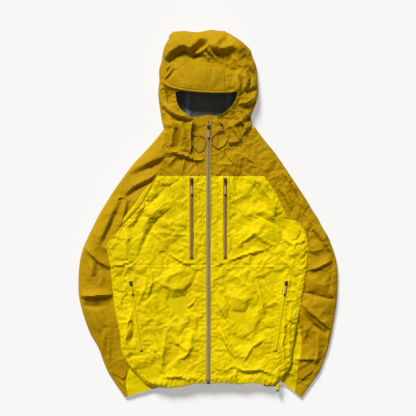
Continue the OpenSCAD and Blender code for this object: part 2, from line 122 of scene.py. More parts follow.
def refine(grid):
    """Doubles a grid's rows and columns with smooth points in between."""

    def rows(a):
        pad = np.concatenate([2 * a[:1] - a[1:2], a, 2 * a[-1:] - a[-2:-1]])
        out = np.empty((2 * len(a) - 1,) + a.shape[1:])
        out[0::2] = a
        out[1::2] = (9 * pad[1:-2] + 9 * pad[2:-1] - pad[:-3] - pad[3:]) / 16
        return out

    return rows(rows(grid).swapaxes(0, 1)).swapaxes(0, 1)


def soften(z):
    """Evens out steps between neighbouring points of a grid of heights."""
    around = z[:-2, 1:-1] + z[2:, 1:-1] + z[1:-1, :-2] + z[1:-1, 2:]
    out = z.copy()
    out[1:-1, 1:-1] = 0.5 * z[1:-1, 1:-1] + 0.125 * around
    return out


def refined(values):
    """The values of a grid's points, on the refined grid."""
    return refine(np.repeat(np.asarray(values, float)[..., None], 3, axis=2))[..., 0]


def hashed(i, j, seed):
    """A repeatable number from 0 to 1 for each cell (i, j)."""
    n = np.sin(i * 127.1 + j * 311.7 + seed * 74.7) * 43758.5453
    return n - np.floor(n)


def smooth_noise(x, y, size, seed):
    u, v = x / size, y / size
    i, j = np.floor(u), np.floor(v)
    a, b = ease(u - i), ease(v - j)
    low = mix(hashed(i, j, seed), hashed(i + 1, j, seed), a)
    high = mix(hashed(i, j + 1, seed), hashed(i + 1, j + 1, seed), a)
    return 2 * mix(low, high, b) - 1


def crumple(x, y, size, seed):
    """Facets with sharp creases between them, as in crumpled cloth; about -1 to 1."""
    u = x / size + 0.35 * smooth_noise(x, y, size * 1.7, seed + 5)
    v = y / size + 0.35 * smooth_noise(x, y, size * 1.7, seed + 9)
    i, j = np.floor(u), np.floor(v)
    first = np.full(u.shape, 9.0)
    second = np.full(u.shape, 9.0)
    tilt = np.zeros(u.shape)
    for di in (-1, 0, 1):
        for dj in (-1, 0, 1):
            ci, cj = i + di, j + dj
            px = ci + hashed(ci, cj, seed)
            py = cj + hashed(ci, cj, seed + 1)
            d = np.hypot(u - px, v - py)
            angle = 2 * math.pi * hashed(ci, cj, seed + 2)
            slope = (u - px) * np.cos(angle) + (v - py) * np.sin(angle)
            nearer = d < first
            second = np.where(nearer, first, np.minimum(second, d))
            tilt = np.where(nearer, slope, tilt)
            first = np.where(nearer, d, first)
    border = np.clip(second - first, 0, 1)
    return 1.3 * (border - 0.3) + 2.2 * tilt * ease(border * 2.5)


def along_path(x, y, points):
    """Distance to a path, which side of it (left is positive) and how far along, from 0 to 1."""
    p = np.array(points, float)
    lengths = np.hypot(*(p[1:] - p[:-1]).T)
    best = np.full(x.shape, 1e9)
    side = np.zeros(x.shape)
    along = np.zeros(x.shape)
    start = 0
    for a, b, length in zip(p[:-1], p[1:], lengths):
        ux, uy = (b - a) / length
        t = np.clip(((x - a[0]) * ux + (y - a[1]) * uy), 0, length)
        dx, dy = x - a[0] - t * ux, y - a[1] - t * uy
        d = np.hypot(dx, dy)
        nearer = d < best
        side = np.where(nearer, np.sign(ux * dy - uy * dx), side)
        along = np.where(nearer, (start + t) / lengths.sum(), along)
        best = np.minimum(best, d)
        start += length
    return best, side, along


def fold_height(x, y, folds, gain):
    """Height of listed folds: each is (height, width, skew, points).

    The long slope lies to the left of the path's direction, and the steep one, skew times as wide, to
    its right. A negative height is a crease.
    """
    z = np.zeros(x.shape)
    for height, width, skew, points in folds:
        d, side, along = along_path(x, y, points)
        taper = np.sin(np.pi * np.clip(along, 0.02, 0.98)) ** 0.6
        w = width * np.where(side >= 0, 1, skew)
        z += gain * height * taper * np.exp(-((d / w) ** 1.3))
    return z


def shelf_height(x, y, shelves):
    """Cloth that stands up and falls: each is (rise, reach, dip, reach below, drop, points).

    It is high on the left of the path and falls to its right, over a slope as wide as the drop.
    """
    z = np.zeros(x.shape)
    for rise, reach, dip, below, drop, points in shelves:
        d, side, along = along_path(x, y, points)
        taper = np.sin(np.pi * np.clip(along, 0.01, 0.99)) ** 0.5
        signed = d * side
        high = rise * np.exp(-((np.maximum(signed, 0) / reach) ** 1.4))
        low = -dip * np.exp(-((np.maximum(-signed - drop, 0) / below) ** 1.4))
        z += taper * mix(low, high, ease((signed + drop) / drop))
    return z


# ------------------------------------------------------------------ materials


def linear(r, g, b):
    """An sRGB colour given as 0 to 255, as Blender's linear one."""
    shares = [c / 255 for c in (r, g, b)]
    return tuple(c / 12.92 if c <= 10 / 255 else ((c + 0.055) / 1.055) ** 2.4 for c in shares) + (1,)


class Nodes:
    """Short ways to build a material's node tree."""

    def __init__(self, name):
        self.material = bpy.data.materials.new(name)
        self.material.use_nodes = True
        self.tree = self.material.node_tree
        self.shader = self.tree.nodes["Principled BSDF"]

    def add(self, kind, **inputs):
        node = self.tree.nodes.new(kind)
        for key, value in inputs.items():
            self.put(node.inputs[key], value)
        return node

    def put(self, socket, value):
        if isinstance(value, bpy.types.NodeSocket):
            self.tree.links.new(value, socket)
        else:
            socket.default_value = value

    def math(self, operation, *values):
        node = self.tree.nodes.new("ShaderNodeMath")
        node.operation = operation
        for socket, value in zip(node.inputs, values):
            self.put(socket, value)
        return node.outputs[0]

    def place(self):
        return self.add("ShaderNodeTexCoord").outputs["Object"]

    def noise(self, scale, detail=3, rough=0.55):
        place = self.place()
        node = self.add("ShaderNodeTexNoise", Vector=place, Scale=scale, Detail=detail, Roughness=rough)
        return node.outputs["Fac"]

    def blend(self, factor, a, b):
        node = self.tree.nodes.new("ShaderNodeMix")
        node.data_type = "RGBA"
        self.put(node.inputs["Factor"], factor)
        self.put(node.inputs["A"], a)
        self.put(node.inputs["B"], b)
        return node.outputs["Result"]

    def ramp(self, value, low, high):
        node = self.tree.nodes.new("ShaderNodeMapRange")
        self.put(node.inputs["Value"], value)
        node.inputs["From Min"].default_value = low
        node.inputs["From Max"].default_value = high
        return node.outputs["Result"]

    def bump(self, height, depth, strength, under=None):
        inputs = {"Height": height, "Distance": depth, "Strength": strength}
        if under:
            inputs["Normal"] = under
        return self.add("ShaderNodeBump", **inputs).outputs["Normal"]


def scaled(color, share):
    return tuple(c * share for c in color[:3]) + (1,)


def woven(name, color, shade=0.8, pitch=0.9, ripstop=5.0, rough=0.66, weave_depth=0.06, sheen=0.0,
          wear_and_highlight=0.12):
    """Woven cloth: threads, a ripstop grid, mottled colour, a painted highlight on ridges and painted shade
    in creases.
    """
    n = Nodes(name)
    xyz = n.add("ShaderNodeSeparateXYZ", Vector=n.place())
    threads = []
    grid = []
    for axis in (0, 1):
        coordinate = xyz.outputs[axis]
        threads.append(n.math("SINE", n.math("MULTIPLY", coordinate, 2 * math.pi / (pitch * MM))))
        wave = n.math("COSINE", n.math("MULTIPLY", coordinate, 2 * math.pi / (ripstop * MM)))
        grid.append(n.ramp(wave, 0.9, 1.0))
    weave = n.math("MULTIPLY", threads[0], threads[1])
    height = n.math("ADD", weave, n.math("MULTIPLY", n.math("MAXIMUM", grid[0], grid[1]), 0.9))
    mottle = n.ramp(n.noise(11, 4), 0.3, 0.7)
    fine = n.ramp(n.noise(260, 2), 0.25, 0.75)
    body = n.blend(mottle, scaled(color, shade), color)
    body = n.blend(n.math("MULTIPLY", fine, 0.3), body, scaled(color, shade * 0.92))
    # From the mesh's pointiness: a painted highlight on ridges, set by the last argument, and painted shade
    # in creases.
    bend = n.add("ShaderNodeNewGeometry").outputs["Pointiness"]
    body = n.blend(n.math("MULTIPLY", n.ramp(bend, 0.52, 0.6), wear_and_highlight), body, scaled(color, 1.25))
    body = n.blend(n.math("MULTIPLY", n.ramp(bend, 0.492, 0.43), 0.75), body, scaled(color, 0.4))
    n.put(n.shader.inputs["Base Color"], body)
    wrinkle = n.bump(n.noise(130, 4, 0.6), 0.0014, 0.55)
    n.put(n.shader.inputs["Normal"], n.bump(height, weave_depth * MM, 0.5, wrinkle))
    n.put(n.shader.inputs["Roughness"], rough)
    n.put(n.shader.inputs["Sheen Weight"], sheen)
    n.put(n.shader.inputs["Sheen Roughness"], 0.4)
    n.put(n.shader.inputs["Specular IOR Level"], 0.05)
    return n.material


def moulded(name, color, rough=0.5, depth=0.00008, metallic=0.0, wear_and_highlight=0.3):
    """Moulded plastic, rubber or plated metal with a fine grain and scuffed colour."""
    n = Nodes(name)
    scuff = n.ramp(n.noise(180, 5, 0.65), 0.35, 0.7)
    body = n.blend(n.math("MULTIPLY", scuff, wear_and_highlight), color, scaled(color, 0.6))
    n.put(n.shader.inputs["Base Color"], body)
    grain = n.noise(900, 2)
    n.put(n.shader.inputs["Normal"], n.bump(grain, depth, 0.5))
    n.put(n.shader.inputs["Roughness"], rough)
    n.put(n.shader.inputs["Metallic"], metallic)
    return n.material


YELLOW = linear(233, 206, 0)
MUSTARD = linear(183, 143, 4)
MATERIALS = {}


def make_materials():
    m = MATERIALS
    m["yellow"] = woven("yellow_shell", YELLOW)
    m["mustard"] = woven("mustard_shell", MUSTARD, shade=0.84, wear_and_highlight=0.3)
    m["lining"] = woven("dark_lining", linear(132, 133, 120), pitch=1.4, ripstop=3.0, rough=0.85,
                        sheen=0.15, shade=0.7, weave_depth=0.15)
    m["mesh"] = woven("pocket_mesh", linear(96, 92, 84), pitch=1.6, rough=0.85, shade=0.7)
    m["seam_tape"] = woven("seam_tape", linear(146, 160, 182), pitch=0.7, rough=0.5)
    m["tape"] = woven("zip_tape", linear(176, 150, 74), pitch=0.7, rough=0.5, shade=0.75)
    m["pocket_tape"] = woven("pocket_zip_tape", linear(160, 122, 60), pitch=0.7, rough=0.5, shade=0.75)
    m["coil"] = moulded("zip_coil", linear(188, 164, 96), 0.45)
    m["metal"] = moulded("zip_metal", linear(104, 94, 74), 0.45, metallic=0.85, wear_and_highlight=0.4)
    m["grip"] = moulded("pull_grip", linear(190, 158, 92), 0.55, depth=0.0002)
    m["dark"] = moulded("moulded_black", linear(46, 42, 38))
    m["thread_yellow"] = woven("yellow_thread", linear(214, 188, 10), pitch=0.4, rough=0.7)
    m["thread_mustard"] = woven("mustard_thread", linear(160, 122, 12), pitch=0.4, rough=0.7)
    m["lock"] = moulded("yellow_lock", linear(214, 184, 10))
    m["cord"] = woven("cord", linear(184, 142, 58), pitch=1.1, rough=0.75, weave_depth=0.25, ripstop=2.2)
    m["webbing"] = woven("webbing", linear(170, 132, 30), pitch=1.2, rough=0.75, weave_depth=0.2)


# ------------------------------------------------------------------ meshes


def link(name, mesh, materials):
    obj = bpy.data.objects.new(name, mesh)
    bpy.context.scene.collection.objects.link(obj)
    for material in materials:
        mesh.materials.append(MATERIALS[material])
    return obj


def mesh_of(name, points, faces, materials, marks=None):
    mesh = bpy.data.meshes.new(name)
    mesh.from_pydata([tuple(p) for p in np.asarray(points) * MM], [], faces)
    mesh.polygons.foreach_set("use_smooth", [True] * len(mesh.polygons))
    if marks is not None:
        mesh.polygons.foreach_set("material_index", marks)
    mesh.update()
    return link(name, mesh, materials)


@contextmanager
def edited(mesh):
    """The mesh as a bmesh, which is written back afterwards."""
    bm = bmesh.new()
    bm.from_mesh(mesh)
    yield bm
    bm.to_mesh(mesh)
    bm.free()


def bake_modifiers(obj):
    """Replaces an object's mesh by what its modifiers make of it."""
    bpy.context.view_layer.update()
    done = obj.evaluated_get(bpy.context.evaluated_depsgraph_get())
    mesh = bpy.data.meshes.new_from_object(done)
    obj.modifiers.clear()
    obj.data = mesh


def points_grid(x, y, z=0.0):
    """A grid of points; x, y and z may be a row, a column or a whole grid."""
    return np.stack(np.broadcast_arrays(x, y, z), axis=2).astype(float)


def grid_faces(rows, cols, start=0, flip=False):
    faces = []
    for i in range(rows - 1):
        for j in range(cols - 1):
            a = start + i * cols + j
            face = (a, a + 1, a + cols + 1, a + cols)
            faces.append(face[::-1] if flip else face)
    return faces


THICK = 0.7
SETTLE_FRAMES = 18
CLOTH_SETTINGS = {"quality": 6, "mass": 0.1, "tension_stiffness": 25, "compression_stiffness": 25,
                  "shear_stiffness": 10, "bending_stiffness": 0.15, "air_damping": 6}


def settle(grid, pinned, excess, cap):
    """Lets a grid of cloth, cut too large by the excess, buckle between its pinned points, up to a cap."""
    rows, cols = grid.shape[:2]
    obj = mesh_of("settling", grid.reshape(-1, 3), grid_faces(rows, cols), [])
    pins = obj.vertex_groups.new(name="pins")
    weight = np.clip(pinned, 0, 1).ravel()
    for level in np.unique(np.round(weight, 1)):
        if level > 0:
            chosen = np.flatnonzero(np.abs(weight - level) < 0.051)
            pins.add([int(i) for i in chosen], float(level), "REPLACE")
    cloth = obj.modifiers.new("cloth", "CLOTH")
    for key, value in CLOTH_SETTINGS.items():
        setattr(cloth.settings, key, value)
    cloth.settings.shrink_min = -excess
    cloth.settings.vertex_group_mass = "pins"
    cloth.settings.effector_weights.gravity = 0
    cloth.collision_settings.use_collision = False
    cloth.point_cache.frame_start = 1
    cloth.point_cache.frame_end = SETTLE_FRAMES
    scene = bpy.context.scene
    for frame_number in range(1, SETTLE_FRAMES + 1):
        scene.frame_set(frame_number)
    done = obj.evaluated_get(bpy.context.evaluated_depsgraph_get()).to_mesh()
    flat = np.empty(rows * cols * 3)
    done.vertices.foreach_get("co", flat)
    moved = flat.reshape(rows, cols, 3) / MM - grid
    data = obj.data
    bpy.data.objects.remove(obj)
    bpy.data.meshes.remove(data)
    scene.frame_set(1)
    far = np.linalg.norm(moved, axis=2, keepdims=True)
    return grid + moved * np.minimum(1, cap / np.maximum(far, 1e-6))


def sheet_size(grids):
    """Width, length and area of a piece's grids as cut flat, in metres."""
    area = 0
    width = 0
    length = 0
    for grid, _ in grids:
        across = np.diff(grid, axis=1)
        along = np.diff(grid, axis=0)
        width += np.linalg.norm(across, axis=2).sum(axis=1).max()
        length = max(length, np.linalg.norm(along, axis=2).sum(axis=0).max())
        area += np.linalg.norm(np.cross(across[:-1], along[:, :-1]), axis=2).sum()
    width, length = round(width * MM, 3), round(length * MM, 3)
    return width, length, min(area * MM * MM, width * length)


def cloth_piece(name, grids, material, place, node=None, inner="lining", thick=THICK):
    """One sewn panel from its grids, each with whether its faces are flipped, as thin closed cloth.

    place is a body to hang it from; any other place, such as a blend's arguments, leaves it where it is. The
    piece stands for the CAD node, if there is one.
    """
    points = []
    faces = []
    start = 0
    for grid, flip in grids:
        rows, cols = grid.shape[:2]
        points.append(grid.reshape(-1, 3))
        faces += grid_faces(rows, cols, start, flip)
        start += rows * cols
    obj = mesh_of(name, np.concatenate(points), faces, [material, inner])
    with edited(obj.data) as bm:
        bmesh.ops.remove_doubles(bm, verts=bm.verts, dist=0.02 * MM)
        bmesh.ops.dissolve_degenerate(bm, edges=bm.edges, dist=0.005 * MM)
    solid = obj.modifiers.new("thickness", "SOLIDIFY")
    solid.thickness = thick * MM
    solid.offset = -1
    solid.material_offset = 1
    solid.material_offset_rim = 0
    bake_modifiers(obj)
    obj.data.polygons.foreach_set("use_smooth", [True] * len(obj.data.polygons))
    sharpen_rims(obj)
    put_in_place(obj, place)
    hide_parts(*([node] if node else []))
    width, length, area = sheet_size(grids)


def panel(node, grids, material, place, side=None, **other):
    """A cloth piece named after the CAD node that it replaces."""
    ending = f"_{side}" if side else ""
    cloth_piece(f"{node}_cloth{ending}", grids, material, place, node + ending, **other)


RIM_ANGLE = math.radians(62)


def sharpen_rims(obj):
    """Keeps the cloth's own normals smooth up to its cut edges."""
    with edited(obj.data) as bm:
        for edge in bm.edges:
            edge.smooth = edge.calc_face_angle(0) < RIM_ANGLE


def put_in_place(obj, place):
    if isinstance(place, str):
        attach(obj, place)
    else:
        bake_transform(obj)


def seam_lines(grid, flip, parts):
    """Lines of a grid and the normals along them, for parts given as (rows, columns)."""
    normal = np.cross(np.gradient(grid, axis=1), np.gradient(grid, axis=0))
    normal /= np.maximum(np.linalg.norm(normal, axis=2, keepdims=True), 1e-6)
    if flip:
        normal = -normal
    return [(grid[part], normal[part]) for part in parts]


STITCH_PITCH = 3.3
STITCH_LENGTH = 2.4
STITCH_WIDTH = 0.55
# A stitch's sections along its length: place, width and height of its edges.
STITCH_SECTIONS = [(-0.5, 0.3, -0.05), (-0.3, 1, 0.2), (0.3, 1, 0.2), (0.5, 0.3, -0.05)]


def stitches(name, lines, material, place):
    """Rows of short raised stitches along polylines given as (points, normals)."""
    points = []
    faces = []
    for line, normal in lines:
        step = np.linalg.norm(np.diff(line, axis=0), axis=1)
        at = np.concatenate([[0], np.cumsum(step)])
        for s in np.arange(STITCH_PITCH, at[-1] - STITCH_PITCH, STITCH_PITCH):
            centre = np.array([np.interp(s, at, line[:, k]) for k in range(3)])
            ahead = np.array([np.interp(s + 1, at, line[:, k]) for k in range(3)])
            up = np.array([np.interp(s, at, normal[:, k]) for k in range(3)])
            along = ahead - centre
            along = along / max(np.linalg.norm(along), 1e-6)
            across = np.cross(up, along)
            base = len(points)
            for t, w, h in STITCH_SECTIONS:
                middle = centre + along * t * STITCH_LENGTH
                for side in (-1, 1):
                    points.append(middle + across * side * w * STITCH_WIDTH / 2 + up * h)
                points.append(middle + up * (h + 0.22 * w))
            for k in range(3):
                a = base + 3 * k
                faces += [(a, a + 3, a + 5, a + 2), (a + 2, a + 5, a + 4, a + 1), (a + 1, a + 4, a + 3, a)]
            faces += [(base, base + 2, base + 1), (base + 9, base + 10, base + 11)]
    put_in_place(mesh_of(name, points, faces, [material]), place)


# ------------------------------------------------------------------ cords

CORD_R = 1.3
CORD_Z = 34.05
CORD_ROUTES = {
    "left": [(-46, 219), (-40, 220), (-34, 219), (-28, 218), (-21, 215), (-14, 211), (-9, 205), (-7, 198),
             (-8, 190), (-12, 182), (-18, 175), (-25, 172), (-32, 175), (-38, 181), (-43, 189), (-46, 197),
             (-48, 205), (-49, 212)],
    "right": [(46, 228), (40, 229), (34, 228), (28, 227), (20, 223), (13, 217), (8, 210), (7, 202),
              (8, 194), (14, 187), (20, 182), (28, 180), (36, 182), (43, 187), (48, 194), (51, 202),
              (52, 210)],
}


def make_cords():
    for side, route in CORD_ROUTES.items():
        data = bpy.data.curves.new(f"hood_cord_loop_{side}", "CURVE")
        data.dimensions = "3D"
        data.bevel_depth = CORD_R * MM
        data.bevel_resolution = 4
        data.resolution_u = 6
        line = data.splines.new("POLY")
        line.points.add(len(route) - 1)
        for point, (x, y) in zip(line.points, route):
            point.co = (x * MM, y * MM, CORD_Z * MM, 1)
        data.use_fill_caps = True
        obj = bpy.data.objects.new(f"hood_cord_loop_{side}", data)
        bpy.context.scene.collection.objects.link(obj)
        data.materials.append(MATERIALS["cord"])
        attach(obj, "torso")
        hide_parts(f"hood_cord_{side}")


# ------------------------------------------------------------------ body of the jacket

ZIP_EDGE = 6.5
HEM = -470
WAIST = -141
PIT = -90
SIDE_TOP = -58
YOKE = 102
COLLAR = 152
COLLAR_TOP = 264
EDGE_Z = 22
FACE_Z = 31.3

body_edge = {
    "left": curve([(-478, 128), (-470, 155), (-462, 170), (-449, 186), (-424, 214), (-389, 236),
                   (-331, 244), (-268, 258), (-199, 265), (-146, 271), (-110, 278), (-90, 282)]),
    "right": curve([(-476, 160), (-470, 182), (-460, 194), (-452, 201), (-424, 224), (-381, 232),
                    (-326, 241), (-268, 253), (-227, 260), (-157, 271), (-120, 274), (-90, 273)]),
}
raglan = {
    "left": curve([(-90, 281), (-70, 266), (-49, 249), (-21, 224), (24, 183), (59, 163), (95, 144),
                   (137, 127), (180, 106), (222, 98), (240, 86), (270, 64)]),
    "right": curve([(-90, 273), (-67, 268), (-33, 254), (-20, 240), (-12, 222), (12, 205), (51, 187),
                    (95, 158), (137, 129), (172, 106), (211, 95), (235, 84), (270, 62)]),
}
pocket_seam = curve([(-478, 140), (-440, 160), (-378, 192), (-180, 222), (-139, 226), (-58, 238)])
hem_line = {
    "left": curve([(0, -466), (29, -464), (73, -473), (131, -477), (160, -475)]),
    "right": curve([(0, -466), (32, -463), (84, -467), (122, -463), (182, -474)]),
}
side_lift = curve([(-470, 115), (-430, 140), (-390, 125), (-355, 95), (-325, 67), (-290, 63), (-228, 57),
                   (-185, 52), (-120, 45), (-58, 22)])


def front_edge(side, y):
    return np.where(y < PIT, body_edge[side](y), raglan[side](y))


FRONT_GAIN = 1.95
# Folds of the fronts: height, width, skew, path.
FRONT_FOLDS = [
    # yoke, left and right
    (7, 13, 0.25, [(-132, 166), (-109, 171), (-84, 164), (-60, 157), (-40, 148), (-28, 144), (-14, 150)]),
    (3, 6, 0.5, [(-68, 152), (-72, 115)]),
    (3.5, 9, 0.5, [(-112, 130), (-92, 152), (-80, 160)]),
    (3, 8, 0.4, [(78, 170), (104, 152), (129, 137)]),
    (3, 5, 0.4, [(51, 159), (64, 143), (75, 128)]),
    (-3.5, 6, 0.5, [(83, 130), (98, 114), (116, 104)]),
    (1.6, 4, 0.5, [(22, 134), (60, 134)]),
    # chest, left
    (-5, 13, 0.5, [(-78, 95), (-118, 67), (-157, 30), (-191, -15), (-213, -49)]),
    (4, 14, 1, [(-96, 40), (-130, 22), (-160, -8), (-185, -45)]),
    (-4.5, 12, 0.6, [(-108, 12), (-144, -20), (-163, -49), (-181, -86), (-191, -118)]),
    (3.5, 9, 1, [(-215, -52), (-226, -80), (-222, -118)]),
    (-2.5, 6, 0.6, [(-118, -100), (-89, -112), (-64, -104)]),
    (4, 5, 0.4, [(-112, -108), (-92, -120), (-76, -131), (-57, -138), (-40, -136)]),
    (3.5, 6, 0.35, [(-278, -146), (-249, -143), (-223, -137), (-200, -124)]),
    (2.5, 5, 0.5, [(-196, -126), (-212, -142), (-228, -150)]),
    # chest, right
    (-4.5, 12, 0.5, [(98, 95), (124, 75), (145, 48), (163, 14), (195, -20), (216, -54)]),
    (4, 12, 1, [(122, 96), (146, 74), (168, 40), (184, 8)]),
    (-4, 10, 0.5, [(124, 0), (150, -14), (177, -26), (213, -54)]),
    (4.5, 13, 0.45, [(76, -92), (100, -72), (124, -54), (155, -76), (180, -86)]),
    (3.5, 7, 0.4, [(26, -140), (58, -128), (87, -117), (124, -106), (161, -97), (180, -112)]),
    (3, 6, 0.4, [(200, -66), (226, -84), (248, -80), (268, -72)]),
    (3, 8, 0.5, [(196, -120), (226, -150), (240, -176)]),
    # left lower front
    (4, 15, 1, [(-60, -150), (-108, -172), (-130, -200)]),
    (5, 20, 1, [(-128, -196), (-96, -206), (-60, -200)]),
    (-5, 20, 1, [(-118, -236), (-90, -240), (-62, -226)]),
    (2.6, 3.5, 0.5, [(-56, -256), (-46, -248), (-36, -237)]),
    (3, 8, 0.5, [(-150, -310), (-136, -350), (-128, -400), (-128, -430)]),
    (2.5, 7, 0.6, [(-116, -310), (-122, -360), (-130, -420)]),
    (3.5, 9, 0.5, [(-102, -330), (-84, -356), (-60, -372), (-44, -366)]),
    (3, 8, 0.5, [(-88, -398), (-66, -392), (-48, -376)]),
    (4, 12, 1, [(-44, -318), (-50, -350), (-58, -400)]),
    (3.5, 10, 0.6, [(-172, -172), (-176, -208), (-190, -240)]),
    (3, 5, 0.4, [(-164, -150), (-158, -190), (-170, -232)]),
    (5, 12, 0.5, [(-206, -262), (-222, -300), (-226, -350), (-212, -390)]),
    (-4, 7, 0.6, [(-204, -270), (-206, -320), (-214, -360)]),
    (3, 9, 0.5, [(-120, -450), (-90, -444), (-60, -452), (-30, -446)]),
    # right lower front
    (4, 16, 1, [(60, -160), (96, -190), (130, -220)]),
    (5, 20, 1, [(60, -226), (100, -236), (136, -226)]),
    (-4, 16, 1, [(44, -290), (72, -280), (100, -300)]),
    (4, 7, 0.4, [(24, -240), (46, -280), (62, -306)]),
    (3.5, 6, 0.4, [(30, -318), (46, -350), (60, -376), (74, -396)]),
    (-4, 10, 0.6, [(62, -338), (90, -352), (118, -346)]),
    (3, 8, 0.5, [(96, -404), (120, -366), (150, -344)]),
    (3, 6, 0.4, [(152, -188), (166, -214), (182, -244)]),
    (3, 8, 0.5, [(130, -180), (142, -230), (150, -280)]),
    (5, 7, 0.4, [(204, -262), (206, -310), (200, -360), (206, -420)]),
    (4, 6, 0.4, [(224, -250), (222, -310), (220, -372)]),
    (4, 10, 0.5, [(70, -420), (100, -428), (140, -424), (176, -440)]),
    (3.5, 6, 0.5, [(60, -452), (74, -436), (70, -462)]),
]


def pucker(along, across, reach, wave, height, seed):
    """Small gathers that run away from a seam."""
    phase = along / wave + 0.9 * smooth_noise(along, across, wave * 3, seed)
    return height * np.sin(2 * np.pi * phase) * np.exp(-np.abs(across) / reach) * (
        0.6 + 0.4 * smooth_noise(along, across, wave * 5, seed + 3))


CHEST_ZIP = (46, 98.5, -123.5)
HAND_ZIP_TOP = (214, -180)
HAND_ZIP_TURN = math.radians(-8.6)
HAND_ZIP_L = 200
ZIP_HALF = 5
WELT_RISE = 2.4
STORM_FLAP_CLEAR = 29.4
POCKET_CLEAR = 26.5
PIT_CLEAR = 19
SIDE_CLEAR = 20
PULL_CLEAR = 33.9
CORD_CLEAR = 31.9


def hand_zip_frame(x, y, side):
    """Position along and across a hand pocket zip, from its top."""
    k = SIDES[side]
    dx, dy = k * x - HAND_ZIP_TOP[0], y - HAND_ZIP_TOP[1]
    c, s = math.cos(HAND_ZIP_TURN), math.sin(HAND_ZIP_TURN)
    return -(-s * dx + c * dy), c * dx + s * dy


def welt(across, along, length, half, rise):
    """A raised rim on both sides of a pocket zip, with the tape let in between."""
    near = ease((half + 9 - np.abs(across)) / 8)
    inside = ease((half + 0.6 - np.abs(across)) / 1.2)
    ends = ease((along + 8) / 8) * ease((length + 8 - along) / 8)
    return rise * near * ends - (rise + 0.6) * inside * ends


def front_relief(x, y, side):
    """Height added to a front's smooth surface."""
    k = SIDES[side]
    z = fold_height(x, y, FRONT_FOLDS, FRONT_GAIN)
    z += 2.2 * smooth_noise(x, y, 85, 3) + 1.0 * smooth_noise(x, y, 40, 4)
    calm = ease((np.abs(x) - 10) / 25)
    z += calm * 1.6 * crumple(x, y, 52, 11)
    z += (0.3 + 0.7 * calm) * 0.7 * crumple(x, y, 26, 12)
    along_zip = k * x - ZIP_EDGE
    z += pucker(y, along_zip, reach=14, wave=9.5, height=0.8, seed=21 + k)
    along, across = hand_zip_frame(x, y, side)
    gathers = pucker(along, across, reach=16, wave=10, height=1.6, seed=41 + k)
    z += gathers * ease((along + 30) / 30) * ease((240 - along) / 20)
    hem = hem_line[side](np.abs(x))
    z += pucker(x, y - hem, reach=16, wave=13, height=1.8, seed=51 + k)
    z += 2.2 * np.exp(-(((y - hem - 10) / 9) ** 2))
    return z


def near_zips(x, y, side):
    """0 on the pocket zips, rising to 1 away from them."""
    k = SIDES[side]
    along, across = hand_zip_frame(x, y, side)
    out = np.minimum(along + 6, HAND_ZIP_L + 6 - along)
    hand = ease((np.abs(across) - 4) / 12) + ease(-out / 8)
    out = np.minimum(CHEST_ZIP[1] + 6 - y, y - CHEST_ZIP[2] + 6)
    chest = ease((np.abs(k * x - CHEST_ZIP[0]) - 4) / 14) + ease(-out / 8)
    return np.clip(hand, 0, 1) * np.clip(chest, 0, 1)


def sewn_in(x, y, z, side):
    """Welts beside the zips, the seams' grooves, and the levels that keep zips and inner parts clear."""
    from_chest_zip = SIDES[side] * x - CHEST_ZIP[0]
    down = CHEST_ZIP[1] - y
    chest_length = CHEST_ZIP[1] - CHEST_ZIP[2]
    along, across = hand_zip_frame(x, y, side)
    z = mix(np.clip(z, FACE_Z - 0.6, FACE_Z + 0.4), z, near_zips(x, y, side))
    z = z + welt(from_chest_zip, down, chest_length, ZIP_HALF, WELT_RISE)
    z = z + welt(across, along, HAND_ZIP_L, ZIP_HALF, WELT_RISE)
    for level in (WAIST, YOKE):
        z = z - 0.9 * np.exp(-(((y - level) / 2.2) ** 2))
    # Not so low that the storm flap, the pocket bags or the sleeve below would come through.
    lowest = mix(STORM_FLAP_CLEAR, POCKET_CLEAR, ease((np.abs(x) - 20) / 10))
    lowest = mix(lowest, PIT_CLEAR, ease((np.abs(x) - 130) / 16) * ease((y + 165) / 20))
    near_side = ease((PIT + 12 - y) / 30) * ease((24 - front_edge(side, y) + np.abs(x)) / 24)
    z = np.maximum(z, mix(lowest, SIDE_CLEAR, near_side))
    # Not so high that the pulls or the cord would sink in.
    lane = np.where((along > -12) & (along < HAND_ZIP_L + 32), np.abs(across), 99)
    chest_lane = np.where((down > -6) & (down < chest_length + 34), np.abs(from_chest_zip), 99)
    lane = np.minimum(lane, chest_lane)
    z = np.minimum(z, mix(PULL_CLEAR, 50, ease((lane - 7) / 14)))
    d = cord_distance(x, y)
    return np.where(d < 9, np.minimum(z, mix(CORD_CLEAR, 34, ease((d - 3) / 6))), z)


def cord_distance(x, y):
    d = np.full(x.shape, 1e9)
    for route in CORD_ROUTES.values():
        d = np.minimum(d, along_path(x, y, route)[0])
    return d


GRID_STEP = 5.4
INNER_COLS = 36
OUTER_COLS = 12


